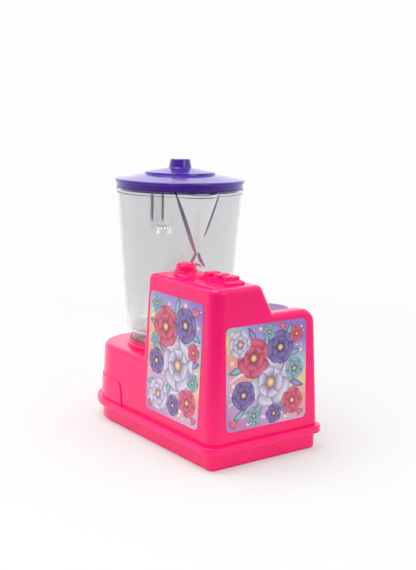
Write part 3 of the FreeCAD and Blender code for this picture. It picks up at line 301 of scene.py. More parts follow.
def clear_plastic(name, value, axis):
    """Clear moulded plastic with painted shade where it turns away, faint flow marks and handling haze. Its
    foot and what stands out past the spout, which is the handle, let more through."""
    material, tree, surface = new_finish(name, {"Transmission Weight": 1.0, "IOR": 1.49})
    # Painted shade: the clear colour is darkened where the surface turns away from the view.
    turned_away = put(tree, "ShaderNodeLayerWeight", {"Blend": 0.5}).outputs["Facing"]
    edge = ranged(tree, turned_away, 0.0, 1.0, 0.6, 1.0)
    coloured(tree, surface, blended(tree, edge, value, shade(value, 0.45)))
    x, y, z = place_parts(tree)
    reach = distance(tree, plus(tree, x, -axis.x), plus(tree, y, -axis.y))
    foot = ranged(tree, z, 0.45, 1.0, *FOOT_HEIGHTS)
    grip = ranged(tree, reach, 1.0, 0.5, *GRIP_REACHES)
    tree.links.new(worked(tree, "MINIMUM", foot, grip), surface.inputs["Alpha"])
    roughened(tree, surface, 0.0, 0.03, 120)
    bumped(tree, surface, ((40, 0.00003, 0.03), (900, 0.000005, 0.05)))
    return material


def bead_with_painted_reflection(name, heights, clearness):
    """Thick clear edges, with a painted reflection of the pink housing low down and a painted dusky shade high
    up, changing in patches between two heights.
    """
    material, tree, surface = new_finish(name, {"Transmission Weight": clearness, "IOR": 1.3})
    rise = ranged(tree, place_parts(tree)["Z"], 0.0, 1.0, *heights)
    patch = ranged(tree, noise(tree, 260, 1.0, 0.6), -0.35, 0.35)
    level = plus(tree, rise, patch)
    level.node.use_clamp = True
    # Painted reflection of the housing low down, painted shade high up.
    coloured(tree, surface, blended(tree, level, colours().edge_housing_reflection_low, colours().edge_painted_shade_high))
    roughened(tree, surface, 0.04, 0.12, 200)
    bumped(tree, surface, ((300, 0.00003, 0.1),))
    return material


def metal(name, value, gloss=(0.22, 0.40)):
    """Bare metal with drawn grain and uneven polish."""
    material, tree, surface = new_finish(name, {"Metallic": 1.0})
    cloud = ranged(tree, noise(tree, 300, 5), 0.0, 1.0)
    coloured(tree, surface, blended(tree, cloud, shade(value, 0.85), shade(value, 1.05)))
    roughened(tree, surface, *gloss, 500)
    bumped(tree, surface, ((1800, 0.00001, 0.4),))
    return material


def dull_plastic(name, value, gloss=(0.42, 0.6)):
    """Unpolished plastic, board or fibre with a fine grain."""
    material, tree, surface = new_finish(name)
    cloud = ranged(tree, noise(tree, 180, 4), 0.0, 1.0)
    coloured(tree, surface, blended(tree, cloud, shade(value, 0.86), shade(value, 1.08)))
    roughened(tree, surface, *gloss, 400)
    bumped(tree, surface, ((1500, 0.00002, 0.4),))
    return material


def printed(name, pattern):
    """Print, whose colour a function gives as a socket of the tree, on coated paper with a fine grain."""
    material, tree, surface = new_finish(name, {"Specular IOR Level": 0.35})
    fine = ranged(tree, noise(tree, 900, 4), 0.0, 0.05)
    coloured(tree, surface, blended(tree, fine, pattern(tree), (1, 1, 1)))
    roughened(tree, surface, 0.24, 0.36, 200)
    bumped(tree, surface, ((500, 0.00001, 0.2),))
    return material


def label_ground(name, across, middle, reach):
    """Pastel print that runs slantwise from one colour to the next, with a soft sway."""
    own = colours()
    stops = (
        (0.00, own.label_low),
        (0.24, paler(own.label_low, 0.25)),
        (0.42, own.label_warm),
        (0.55, own.label_cream),
        (0.68, paler(own.teal, 0.35)),
        (0.84, paler(own.label_high, 0.15)),
        (1.00, own.label_high),
    )

    def pattern(tree):
        parts = place_parts(tree)
        height = plus(tree, times(tree, parts[across], LABEL_SLANT), parts["Z"])
        sway = times(tree, ranged(tree, noise(tree, 28, 1.0), -1.0, 1.0), 0.16 * reach)
        level = ranged(tree, plus(tree, height, sway), 0.0, 1.0, middle - reach, middle + reach)
        wash = put(tree, "ShaderNodeValToRGB", {0: level})
        wash.color_ramp.interpolation = "EASE"
        ramp = wash.color_ramp.elements
        while len(ramp) < len(stops):
            ramp.new(0.5)
        for stop, (spot, value) in zip(ramp, stops):
            stop.position = spot
            stop.color = (*value[:3], 1)
        return wash.outputs[0]

    return printed(name, pattern)


def print_ink():
    """Printed ink, in the colour kept on the print's own points."""

    def pattern(tree):
        return put(tree, "ShaderNodeAttribute", attribute_name="ink").outputs["Color"]

    return printed("print_ink", pattern)


def dress(material, *names):
    """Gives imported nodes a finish."""
    for name in names:
        mesh = nodes[name].data
        mesh.materials.clear()
        mesh.materials.append(material)


# ------------------------------------------------------------------ pieces


def linked(name, data):
    """A new object in the scene."""
    piece = bpy.data.objects.new(name, data)
    bpy.context.scene.collection.objects.link(piece)
    return piece


def added(name, mesh, body="base"):
    """A new piece that moves with one of the part's bodies."""
    piece = linked(name, mesh)
    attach(piece, body)
    return piece


def meshed(name, form):
    """The mesh of an editable form, which is then let go."""
    mesh = bpy.data.meshes.new(name)
    form.to_mesh(mesh)
    form.free()
    return mesh


def shares(count):
    """Even steps from 0 to 1."""
    return [step / (count - 1) for step in range(count)]


def banded(form, lower, upper):
    """A band of faces between two rings of points."""
    for index in range(len(lower)):
        after = (index + 1) % len(lower)
        form.faces.new((lower[index], lower[after], upper[after], upper[index]))


def tubed(form, rings):
    """A closed tube through rings of points, with flat ends."""
    for lower, upper in zip(rings, rings[1:]):
        banded(form, lower, upper)
    form.faces.new(rings[0])
    form.faces.new(rings[-1][::-1])


def points_mesh(name, spots, **kept):
    """A mesh of loose points that keeps some numbers on each."""
    mesh = bpy.data.meshes.new(name)
    mesh.from_pydata(spots, [], [])
    for label, values in kept.items():
        mesh.attributes.new(label, "FLOAT", "POINT").data.foreach_set("value", values)
    return mesh


def settled(name, base, tree, values):
    """The plain mesh that a geometry tree makes of a base mesh."""
    holder = linked(name, base)
    modifier = holder.modifiers.new("form", "NODES")
    modifier.node_group = tree
    for socket in tree.interface.items_tree:
        if socket.in_out == "INPUT" and socket.name in values:
            modifier[socket.identifier] = values[socket.name]
    bpy.context.view_layer.update()
    graph = bpy.context.evaluated_depsgraph_get()
    shown = holder.evaluated_get(graph)
    mesh = bpy.data.meshes.new_from_object(shown, preserve_all_data_layers=True, depsgraph=graph)
    bpy.data.objects.remove(holder)
    if not mesh.polygons:
        raise RuntimeError(f"{name} came out empty")
    mesh.materials.clear()
    mesh.materials.append(values["Material"])
    return mesh


# ---------------------------------------------------------- repeated forms


def new_tree(name, inputs):
    """A geometry tree with named inputs: the tree, its input node and its output node."""
    tree = bpy.data.node_groups.new(name, "GeometryNodeTree")
    for label, kind in (("Geometry", "Geometry"), *inputs):
        tree.interface.new_socket(label, in_out="INPUT", socket_type=f"NodeSocket{kind}")
    tree.interface.new_socket("Geometry", in_out="OUTPUT", socket_type="NodeSocketGeometry")
    return tree, put(tree, "NodeGroupInput").outputs, put(tree, "NodeGroupOutput")


def live(sockets, name):
    """The socket of that name that is in use."""
    return next(socket for socket in sockets if socket.name == name and socket.enabled)


def placed(tree, geometry, position):
    """Moves every point to a new place."""
    return put(tree, "GeometryNodeSetPosition", {"Geometry": geometry, "Position": position}).outputs[0]


def inked(tree, geometry, value):
    """Keeps a colour on every point, under the name that the ink reads."""
    inputs = {"Name": "ink", "Geometry": geometry}
    made = put(tree, "GeometryNodeStoreNamedAttribute", inputs, data_type="FLOAT_COLOR", domain="POINT")
    tree.links.new(value, live(made.inputs, "Value"))
    return made.outputs["Geometry"]


def attribute(tree, name):
    """A number that the base mesh keeps on its points."""
    made = put(tree, "GeometryNodeInputNamedAttribute", {"Name": name}, data_type="FLOAT")
    return live(made.outputs, "Attribute")


def repeated(tree, points, form, turn, scale):
    """A copy of a form on every point."""
    inputs = {"Points": points, "Instance": form, "Rotation": turn, "Scale": scale}
    return put(tree, "GeometryNodeInstanceOnPoints", inputs).outputs["Instances"]


def joined(tree, *parts):
    """Several geometries as one."""
    made = put(tree, "GeometryNodeJoinGeometry")
    for part in parts:
        tree.links.new(part, made.inputs[0])
    return made.outputs[0]


def ended(tree, geometry, given, out):
    """Makes the copies real, gives them their material and ends the tree."""
    real = put(tree, "GeometryNodeRealizeInstances", {0: geometry}).outputs[0]
    finished = put(tree, "GeometryNodeSetMaterial", {"Geometry": real, "Material": given["Material"]})
    tree.links.new(finished.outputs[0], out.inputs[0])
    return tree


def disc(tree, sides, rings):
    """A closed flat drum of radius 1 that stands from 0 to 1, with rings in its ends, and its x, y and z."""
    sized = {"Vertices": sides, "Side Segments": 1, "Fill Segments": rings, "Radius": 1.0, "Depth": 1.0}
    drum = put(tree, "GeometryNodeMeshCylinder", sized, fill_type="TRIANGLE_FAN")
    spot = put(tree, "GeometryNodeInputPosition").outputs[0]
    x, y, z = put(tree, "ShaderNodeSeparateXYZ", {0: spot}).outputs
    return placed(tree, drum.outputs["Mesh"], combined(tree, x, y, plus(tree, z, 0.5))), x, y, z


def petal(tree, given):
    """One petal along +X, dark at its root and darker again at its rim."""
    drum, x, y, z = disc(tree, 28, 4)
    along = worked(tree, "MULTIPLY_ADD", x, 0.5, 0.5)
    body = blended(tree, ranged(tree, along, 0, 1, 0.15, 0.85), given["Root"], given["Tip"])
    value = blended(tree, ranged(tree, distance(tree, x, y), 0, 0.75, 0.78, 1.0), body, given["Rim"])
    fullness = worked(tree, "MULTIPLY_ADD", worked(tree, "SQRT", along), 0.72, 0.10)
    width = times(tree, times(tree, y, fullness), given["Petal width"])
    notch = times(tree, worked(tree, "POWER", along, 9.0), worked(tree, "COMPARE", y, 0.0, 0.12))
    reach = worked(tree, "MULTIPLY_ADD", along, 0.92, 0.08)
    tip = worked(tree, "SUBTRACT", reach, times(tree, notch, 0.06))
    return placed(tree, inked(tree, drum, value), combined(tree, tip, width, z))


def whorl(tree, given, form, size, rise, start):
    """Petals all round a middle, each a hair higher than the last."""
    ring = put(tree, "GeometryNodePoints", {"Count": given["Petals"]}).outputs[0]
    index = put(tree, "GeometryNodeInputIndex").outputs[0]
    step = worked(tree, "DIVIDE", 2 * math.pi, given["Petals"])
    turn = combined(tree, 0.0, 0.0, times(tree, plus(tree, index, start), step))
    scale = combined(tree, size, size, worked(tree, "MULTIPLY_ADD", index, 0.06, rise))
    return repeated(tree, ring, form, turn, scale)


def blossom_tree():
    """Blossoms of two whorls and a gold middle, one on each point of the base mesh."""
    inputs = [("Petals", "Int"), ("Petal width", "Float"), ("Material", "Material")]
    inputs += [(name, "Color") for name in ("Root", "Tip", "Rim", "Middle", "Middle rim")]
    tree, given, out = new_tree("blossoms", inputs)
    form = petal(tree, given)
    outer = whorl(tree, given, form, 1.0, 1.0, 0.0)
    inner = whorl(tree, given, form, 0.62, 1.6, 0.5)
    drum, x, y, z = disc(tree, 24, 3)
    spread = ranged(tree, distance(tree, x, y), 0, 1, 0.3, 1.0)
    value = blended(tree, spread, given["Middle"], given["Middle rim"])
    small = [times(tree, part, 0.19) for part in (x, y)]
    middle = placed(tree, inked(tree, drum, value), combined(tree, *small, times(tree, z, 2.4)))
    reach = attribute(tree, "reach")
    scale = combined(tree, reach, reach, attribute(tree, "rise"))
    turn = combined(tree, 0.0, 0.0, attribute(tree, "turn"))
    whole = repeated(tree, given["Geometry"], joined(tree, outer, inner, middle), turn, scale)
    return ended(tree, whole, given, out)


def dot_tree():
    """Small round dots strewn over a rectangle."""
    inputs = [(name, "Float") for name in ("Width", "Height", "Count", "Radius", "Rise")]
    inputs += [("Seed", "Int"), ("Dot", "Color"), ("Material", "Material")]
    tree, given, out = new_tree("dots", inputs)
    field = {"Size X": given["Width"], "Size Y": given["Height"], "Vertices X": 2, "Vertices Y": 2}
    sheet = put(tree, "GeometryNodeMeshGrid", field).outputs["Mesh"]
    spots = {"Mesh": sheet, "Seed": given["Seed"]}
    strewn = put(tree, "GeometryNodeDistributePointsOnFaces", spots, distribute_method="RANDOM")
    density = worked(tree, "DIVIDE", given["Count"], times(tree, given["Width"], given["Height"]))
    tree.links.new(density, live(strewn.inputs, "Density"))
    drum = disc(tree, 12, 1)[0]
    chance = put(tree, "FunctionNodeRandomValue", data_type="FLOAT")
    live(chance.inputs, "Min").default_value = 0.4
    tree.links.new(given["Seed"], live(chance.inputs, "Seed"))
    size = times(tree, live(chance.outputs, "Value"), given["Radius"])
    level, scale = combined(tree, 0.0, 0.0, 0.0), combined(tree, size, size, given["Rise"])
    spread = repeated(tree, strewn.outputs["Points"], inked(tree, drum, given["Dot"]), level, scale)
    return ended(tree, spread, given, out)


def screw_head(tree, given):
    """A domed head over z 0 with a cross cut into its outer face."""
    drum, x, y, z = disc(tree, 32, 4)
    wide, deep = given["Head radius"], given["Head height"]
    outer = worked(tree, "SUBTRACT", 1.0, z)
    dome = times(tree, worked(tree, "POWER", distance(tree, x, y), 3.0), outer)
    radius = times(tree, wide, worked(tree, "MULTIPLY_ADD", outer, -0.08, 1.0))
    height = times(tree, plus(tree, z, times(tree, dome, 0.42)), deep)
    spread = [times(tree, part, radius) for part in (x, y)]
    head = placed(tree, drum, combined(tree, *spread, height))
    cut = put(tree, "GeometryNodeMeshBoolean", {"Mesh 1": head}, operation="DIFFERENCE")
    for spans in ((1.15, 0.27), (0.27, 1.15)):
        size = combined(tree, *(times(tree, wide, span) for span in spans), times(tree, deep, 1.1))
        bar = put(tree, "GeometryNodeMeshCube", {"Size": size})
        tree.links.new(bar.outputs["Mesh"], cut.inputs["Mesh 2"])
    return cut.outputs["Mesh"]


def screw_tree():
    """Self-tapping screws that point up, each with the middle of its head's outer face on a base point."""
    sized = ("Head radius", "Head height", "Shank radius", "Length", "Pitch", "Thread depth")
    inputs = [(name, "Float") for name in sized] + [("Material", "Material")]
    tree, given, out = new_tree("screws", inputs)
    thick = given["Shank radius"]
    low = times(tree, given["Head height"], 0.8)
    taper = times(tree, thick, 1.6)
    straight = worked(tree, "SUBTRACT", worked(tree, "SUBTRACT", given["Length"], taper), low)
    drum, x, y, z = disc(tree, 20, 1)
    thin = [times(tree, part, thick) for part in (x, y)]
    shank = placed(tree, drum, combined(tree, *thin, worked(tree, "MULTIPLY_ADD", z, straight, low)))
    point, x, y, z = disc(tree, 20, 1)
    wane = times(tree, thick, worked(tree, "MULTIPLY_ADD", z, -0.75, 1.0))
    thin = [times(tree, part, wane) for part in (x, y)]
    top = worked(tree, "MULTIPLY_ADD", z, taper, plus(tree, low, straight))
    tip = placed(tree, point, combined(tree, *thin, top))
    rounds = worked(tree, "DIVIDE", straight, given["Pitch"])
    sized = {"Resolution": 20, "Rotations": rounds, "Height": straight}
    coil = put(tree, "GeometryNodeCurveSpiral", {**sized, "Start Radius": thick, "End Radius": thick})
    crest = put(tree, "GeometryNodeCurvePrimitiveCircle", {"Resolution": 4, "Radius": given["Thread depth"]})
    swept = {"Curve": coil.outputs[0], "Profile Curve": crest.outputs[0], "Fill Caps": True}
    thread = put(tree, "GeometryNodeCurveToMesh", swept).outputs[0]
    lift = combined(tree, 0.0, 0.0, times(tree, low, 1.2))
    raised = put(tree, "GeometryNodeTransform", {"Geometry": thread, "Translation": lift}).outputs[0]
    whole = joined(tree, screw_head(tree, given), shank, tip, raised)
    upright, full = combined(tree, 0.0, 0.0, 0.0), combined(tree, 1.0, 1.0, 1.0)
    return ended(tree, repeated(tree, given["Geometry"], whole, upright, full), given, out)


# ------------------------------------------------------------------ labels


def label_plane(name, outward, right):
    """A label's printed face: the matrix that lays a flat print on it, its half width and its half height."""
    mesh = nodes[name].data
    printed_side = [face for face in mesh.polygons if face.normal.dot(outward) > 0.9]
    normal = sum((face.normal * face.area for face in printed_side), Vector()).normalized()
    up = normal.cross(right)
    middle = normal * max(corner.co.dot(normal) for corner in mesh.vertices)
    reach = []
    for way in (right, up):
        along = [corner.co.dot(way) for corner in mesh.vertices]
        middle += way * (min(along) + max(along)) / 2
        reach.append((max(along) - min(along)) / 2)
    plane = Matrix((right, up, normal)).transposed().to_4x4()
    plane.translation = middle
    return plane, reach


def heart(size):
    """A heart's outline."""
    points = []
    for step in range(40):
        turn = 2 * math.pi * step / 40
        wide = 16 * math.sin(turn) ** 3
        high = 13 * math.cos(turn) - 5 * math.cos(2 * turn) - 2 * math.cos(3 * turn) - math.cos(4 * turn)
        points.append((-wide * size / 17, high * size / 17))
    return points


def star(size):
    """A five-pointed star's outline."""
    points = []
    for step in range(10):
        turn = math.pi / 2 + math.pi * step / 5
        reach = size * (0.46 if step % 2 else 1.0)
        points.append((reach * math.cos(turn), reach * math.sin(turn)))
    return points


def leaf(size):
    """A pointed leaf's outline along +X."""
    points = []
    for side in (-1, 1):
        for step in range(12):
            along = side * math.cos(math.pi * step / 12)
            points.append((size * along, side * 0.34 * size * math.cos(math.pi * along / 2) ** 0.8))
    return points


def turned(points, u, v, degrees):
    """An outline turned and moved to its place on the label."""
    turn = math.radians(degrees)
    across, along = math.cos(turn), math.sin(turn)
    return [(u + x * across - y * along, v + x * along + y * across) for x, y in points]


def raised_print(form, outline, middle, top, core, rim):
    """A closed flat form of ink on an outline, shaded from its core to its rim."""
    ink = form.verts.layers.float_color["ink"]

    def inked_point(u, v, z, value):
        point = form.verts.new((u, v, z))
        point[ink] = (*value, 1)
        return point

    def ring(share, z, value):
        spots = [[m + (part - m) * share for part, m in zip(spot, middle)] for spot in outline]
        return [inked_point(*spot, z, value) for spot in spots]

    def capped(edge, z, value, flip):
        tip = inked_point(*middle, z, value)
        for first, second in zip(edge, edge[1:] + edge[:1]):
            form.faces.new((second, first, tip) if flip else (first, second, tip))

    rings = [
        ring(1.0, 0.0, rim),
        ring(1.0, top, rim),
        ring(0.78, top, [(a + b) / 2 for a, b in zip(core, rim)]),
        ring(0.45, top, core),
    ]
    capped(rings[0], 0.0, rim, True)
    for lower, upper in zip(rings, rings[1:]):
        banded(form, lower, upper)
    capped(rings[-1], top, core, False)


def ribbon_print(form, line, half_width, top, core, rim):
    """A closed band of ink along a line, thin at both ends."""
    ink = form.verts.layers.float_color["ink"]
    rows = []
    for index, (u, v) in enumerate(line):
        before, after = line[max(index - 1, 0)], line[min(index + 1, len(line) - 1)]
        way = Vector((after[0] - before[0], after[1] - before[1])).normalized()
        thick = half_width * (0.15 + 0.85 * math.sin(math.pi * index / (len(line) - 1)) ** 0.6)
        row = []
        for side, z, value in ((-1, 0, rim), (-1, top, rim), (0, top, core), (1, top, rim), (1, 0, rim)):
            row.append(form.verts.new((u - way.y * side * thick, v + way.x * side * thick, z)))
            row[-1][ink] = (*value, 1)
        rows.append(row)
    tubed(form, rows)


def charms_mesh(name, charms, ribbons):
    """Hearts, stars, leaves and ribbons of one label, flat about its middle."""
    form = bmesh.new()
    form.verts.layers.float_color.new("ink")
    ink = sizes().ink
    own = colours()
    finishes = {
        "heart": (heart, paler(own.magenta, 0.15), shade(own.magenta, 0.6), 3),
        "star": (star, paler(own.gold, 0.6), own.gold, 3),
        "leaf": (leaf, paler(own.teal, 0.25), shade(own.teal, 0.35), 2),
        "violet_leaf": (leaf, paler(own.violet, 0.25), shade(own.violet, 0.7), 2),
    }
    for kind, u, v, size, degrees in charms:
        outline, core, rim, rise = finishes[kind]
        points = [(x * MM, y * MM) for x, y in turned(outline(size), u, v, degrees)]
        raised_print(form, points, (u * MM, v * MM), rise * ink, core[:3], rim[:3])
    tints = {
        "cream": (paler(own.gold, 0.85), paler(own.gold, 0.65)),
        "rose": (paler(own.magenta, 0.75), paler(own.magenta, 0.5)),
        "sky": (paler(own.teal, 0.8), paler(own.teal, 0.55)),
        "lavender": (paler(own.violet, 0.75), paler(own.violet, 0.5)),
    }
    for tint, start, end, sway, waves, width in ribbons:
        line = []
        for share in shares(49):
            u, v = (first + (last - first) * share for first, last in zip(start, end))
            line.append((u * MM, (v + sway * math.sin(2 * math.pi * waves * share)) * MM))
        ribbon_print(form, line, width * MM / 2, ink, *tints[tint])
    bmesh.ops.recalc_face_normals(form, faces=form.faces)
    return meshed(name, form)


# Each layout is listed in millimetres from the label's middle: blossoms and charms as across, up,
# size and degrees, and ribbons as tint, start, end, sway, waves and width.
FRONT_PRINT = {
    "node": "front_sticker",
    "outward": Vector((0, -1, 0)),
    "right": Vector((1, 0, 0)),
    "seed": 7,
    "blossoms": {
        "lilac": ((6, -4, 19, 8), (-17, -30, 12, 30)),
        "magenta": ((-11, 21, 15, 0), (19, -28, 10, 20), (24, 9, 6.5, 40)),
        "violet": ((13, 26, 12.5, 15), (-21, -6, 9.5, 50), (2, -34, 7.5, 10)),
        "teal": ((-23, 36, 6.5, 0), (24.5, -12, 6.5, 30), (-24, 9, 5.5, 15)),
    },
    "charms": (
        ("leaf", -24, 21, 8, 160), ("leaf", 2, 37, 8, 75), ("leaf", 24, 20, 8, -20),
        ("leaf", -6, -24, 9, 230), ("leaf", 12, -24, 8, -60), ("violet_leaf", -12, 4, 8, 150),
        ("violet_leaf", 25, 0, 7, 20),
        ("leaf", -27, -22, 6, 200), ("violet_leaf", 8, 12, 8, 100),
        ("heart", 25, 37, 4.5, -12), ("heart", -27, -39, 3.5, 15), ("heart", 27, -39, 3.5, -15),
        ("star", 12, 40, 2.8, 10), ("star", -28, 27, 2.4, 30), ("star", 28, 27, 2.2, 0),
        ("star", -11, -13, 2.6, 15), ("star", 10, -39, 2.4, 25), ("star", -8, 38, 2.2, 40),
        ("star", -28, -13, 2.0, 5),
    ),
    "ribbons": (
        ("cream", (-31, 30), (31, 36), 3.0, 1.2, 2.6), ("rose", (-31, 4), (31, 14), 4.0, 1.0, 3.4),
        ("sky", (-31, -14), (31, -8), 3.5, 1.3, 2.8), ("lavender", (-31, -24), (31, -20), 3.0, 1.5, 2.2),
        ("cream", (-31, -36), (31, -32), 2.6, 1.1, 2.4),
    ),
}

SIDE_PRINT = {
    "node": "side_sticker",
    "outward": Vector((1, 0, 0)),
    "right": Vector((0, 1, 0)),
    "seed": 11,
    "blossoms": {
        "lilac": ((3, -6, 18, 22), (-24, 24, 9.5, 5)),
        "magenta": ((-12, 13, 14, 12), (23, -22, 9.5, 30), (27, 26, 6, 0)),
        "violet": ((12, 18, 12, 40), (-21, -12, 10, 10), (6, -29, 7, 0)),
        "teal": ((25, 1, 8, 15), (-12, -28, 6.5, 45), (2, 30, 5.5, 20)),
    },
    "charms": (
        ("leaf", -26, 6, 8, 190), ("leaf", 0, 22, 8, 95), ("leaf", 24, 13, 7, 10), ("leaf", -6, -21, 9, 240),
        ("leaf", 15, -25, 8, -70), ("violet_leaf", 27, -10, 7, -20), ("violet_leaf", -2, 5, 8, 60),
        ("leaf", -25, -26, 7, 215), ("violet_leaf", -13, 29, 7, 120), ("leaf", 20, 29, 6, 60),
        ("heart", -30, -31, 4, 12), ("heart", 30, -31.5, 3.5, -15), ("heart", 14, 33, 3.5, -8),
        ("star", -31, 12, 2.6, 10), ("star", 31, 14, 2.2, 30), ("star", -31, 32, 2.6, 0),
        ("star", -17, -33, 2.2, 15), ("star", 17, -33, 2.4, 25), ("star", -30, -4, 2.2, 20),
        ("star", -6, 33, 2.2, 40),
    ),
    "ribbons": (
        ("cream", (-34, 20), (34, 26), 3.4, 1.1, 2.8), ("rose", (-34, -2), (34, 6), 4.2, 1.0, 3.4),
        ("sky", (-34, -18), (34, -12), 3.4, 1.4, 2.8), ("lavender", (-34, -30), (34, -27), 2.6, 1.3, 2.4),
    ),
}


def blossom_colours(style):
    """Root, tip, rim, middle and middle rim of a blossom."""
    value = getattr(colours(), style)
    gold = colours().gold
    tip_share = {"lilac": 0.55, "magenta": 0.12, "violet": 0.15, "teal": 0.30}[style]
    given = {
        "Root": shade(value, 0.30),
        "Tip": paler(value, tip_share),
        "Rim": shade(value, 0.45),
        "Middle": paler(gold, 0.35),
        "Middle rim": shade(gold, 0.6),
    }
    return {name: (*part, 1) for name, part in given.items()}


def print_label(layout, ink, blossoms, dots):
    """Lays the print of one label on its node."""
    plane, (half_width, half_height) = label_plane(layout["node"], layout["outward"], layout["right"])
    layer, margin = sizes().ink, sizes().dot_margin
    side = layout["node"].split("_")[0]

    def laid(name, mesh):
        mesh.transform(plane)
        added(name, mesh)

    for style, places in layout["blossoms"].items():
        spots = [(u * MM, v * MM, 0) for u, v, _, _ in places]
        kept = {
            "reach": [reach * MM for _, _, reach, _ in places],
            "turn": [math.radians(degrees) for _, _, _, degrees in places],
            "rise": [layer * (2.6 + 0.5 * index) for index in range(len(places))],
        }
        base = points_mesh(f"{side}_{style}_places", spots, **kept)
        petals, petal_width = (6, 0.95) if style == "lilac" else (5, 1.05)
        values = {"Petals": petals, "Petal width": petal_width, "Material": ink, **blossom_colours(style)}
        name = f"{side}_blossoms_{style}"
        laid(name, settled(name, base, blossoms, values))
    charms = charms_mesh(f"{side}_charms", layout["charms"], layout["ribbons"])
    charms.materials.append(ink)
    laid(f"{side}_charms", charms)
    values = {
        "Width": 2 * (half_width - margin),
        "Height": 2 * (half_height - margin),
        "Count": float(sizes().dots),
        "Radius": sizes().dot_radius,
        "Rise": 1.4 * layer,
        "Seed": layout["seed"],
        "Dot": (*paler(colours().gold, 0.92), 1),
        "Material": ink,
    }
    laid(f"{side}_dots", settled(f"{side}_dots", points_mesh(f"{side}_field", [(0, 0, 0)]), dots, values))


# --------------------------------------------------------------------- jug

# How far the middle of each clear edge lies outside the jug's wall, and inside the spout's lip.
EDGE_PROUD = 0.2 * MM
RIM_PROUD = 0.1 * MM
RIB_PROUD = 0.8 * MM
LIP_INSET = 0.5 * MM

# The jug's rim is wider than its wall by this.
RIM_LIP = 0.5 * MM

# How far the foot of the spout is sunk into the wall.
SPOUT_SINK = 1.8 * MM

# The forked rib's legs start this far above the spout's foot, and its arch peaks this far below it.
LEG_RISE = 4 * MM
ARCH_DROP = 5 * MM


class JugForm:
    """The jug's axis, its top and its tapered wall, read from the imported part."""

    def __init__(self):
        low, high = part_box("blade_bush")
        self.axis = (low + high) / 2
        low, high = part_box("jug_body")
        self.top = high.z
        self.rim_radius = (high.y - low.y) / 2 - RIM_LIP

    def wall(self, drop):
        """The wall's radius, so far below the top."""
        return self.rim_radius - sizes().jug_taper * drop

    def spot(self, radius, degrees, drop):
        """A point by its distance from the axis, its turn from the spout and its distance below the top."""
        turn = math.radians(JUG_TURN + degrees)
        x, y = self.axis.x + radius * math.cos(turn), self.axis.y + radius * math.sin(turn)
        return Vector((x, y, self.top - drop))

    def spout_cut(self, share):
        """A level cut through the spout: its drop, its middle's reach, its radius and half its turn."""
        own = sizes()
        drop = own.spout_drop * share
        radius = own.spout_radius + (own.spout_tip - own.spout_radius) * share
        high_reach = self.rim_radius + own.spout_proud - own.spout_radius
        low_reach = self.wall(own.spout_drop) - SPOUT_SINK
        reach = high_reach + (low_reach - high_reach) * share
        wall = self.wall(drop)
        cosine = (wall ** 2 + reach ** 2 - radius ** 2) / (2 * wall * reach)
        return drop, reach, radius, math.acos(max(-1.0, min(1.0, cosine)))


def bead_mesh(name, line, thick):
    """A closed round bead along a line, thinner towards its ends."""
    form = bmesh.new()
    rings = []
    turns = [2 * math.pi * step / 10 for step in range(10)]
    for index, (spot, share) in enumerate(zip(line, shares(len(line)))):
        width = sizes().bead * thick * (1 - 0.7 * (2 * share - 1) ** 4)
        way = (line[min(index + 1, len(line) - 1)] - line[max(index - 1, 0)]).normalized()
        upright = Vector((1, 0, 0)) if abs(way.z) > 0.99 else UP
        side = way.cross(upright).normalized()
        out = side.cross(way)
        ring = [spot + (side * math.cos(turn) + out * math.sin(turn)) * width for turn in turns]
        rings.append([form.verts.new(point) for point in ring])
    tubed(form, rings)
    bmesh.ops.recalc_face_normals(form, faces=form.faces)
    for face in form.faces:
        face.smooth = True
    return meshed(name, form)


def spout_edge(jug, side, start, span):
    """A thick edge of the spout, where it meets the wall, over a stretch of the way down."""
    line = []
    for share in shares(20):
        drop, _, _, turn = jug.spout_cut(start + span * share)
        line.append(jug.spot(jug.wall(drop) + EDGE_PROUD, side * math.degrees(turn), drop))
    return line


def spout_lip(jug):
    """The line round the spout's lip, level with the line under the rim."""
    drop, reach, radius, turn = jug.spout_cut(sizes().rim_drop / sizes().spout_drop)
    wall, inner = jug.wall(drop), radius - LIP_INSET
    widest = math.atan2(wall * math.sin(turn), wall * math.cos(turn) - reach)
    line = []
    for share in shares(21):
        swing = widest * (2 * share - 1)
        across, ahead = inner * math.sin(swing), reach + inner * math.cos(swing)
        line.append(jug.spot(math.hypot(across, ahead), math.degrees(math.atan2(across, ahead)), drop))
    return line


def rim_line(jug):
    """The line under the rim, all round but for the spout."""
    drop, _, _, turn = jug.spout_cut(sizes().rim_drop / sizes().spout_drop)
    opening = math.degrees(turn)
    around = [opening + (360 - 2 * opening) * share for share in shares(61)]
    return [jug.spot(jug.wall(drop) + RIM_PROUD, degrees, drop) for degrees in around]


def handle_rail(jug, side):
    """A thick clear edge of the handle's upright."""
    own = sizes()
    across = math.radians(JUG_TURN + 90)
    shift = Vector((math.cos(across), math.sin(across), 0)) * side * own.grip_width / 2
    drops = [own.grip_top + own.grip_length * share for share in shares(10)]
    return [jug.spot(own.grip_reach, 180, drop) + shift for drop in drops]


def rib_spot(jug, across, drop):
    """A point of the forked rib, by its distance across from the spout's middle."""
    turn = math.degrees(math.asin(across / jug.wall(drop)))
    return jug.spot(jug.wall(drop) + RIB_PROUD, turn, drop)


def rib_leg(jug, side, foot):
    """A leg of the forked rib, from the spout's foot down to a drop."""
    start = sizes().spout_drop - LEG_RISE
    line = []
    for share in shares(14):
        across = side * (0.18 + 0.82 * share ** 1.6) * sizes().rib_spread
        line.append(rib_spot(jug, across, start + (foot - start) * share))
    return line


def rib_arch(jug, foot):
    """The arch between the legs of the forked rib."""
    peak = sizes().spout_drop + ARCH_DROP
    line = []
    for share in shares(21):
        swing = 2 * share - 1
        drop = foot + (peak - foot) * (1 - abs(swing) ** 2.2)
        line.append(rib_spot(jug, swing * 0.55 * sizes().rib_spread, drop))
    return line


# ------------------------------------------------------------------ screws


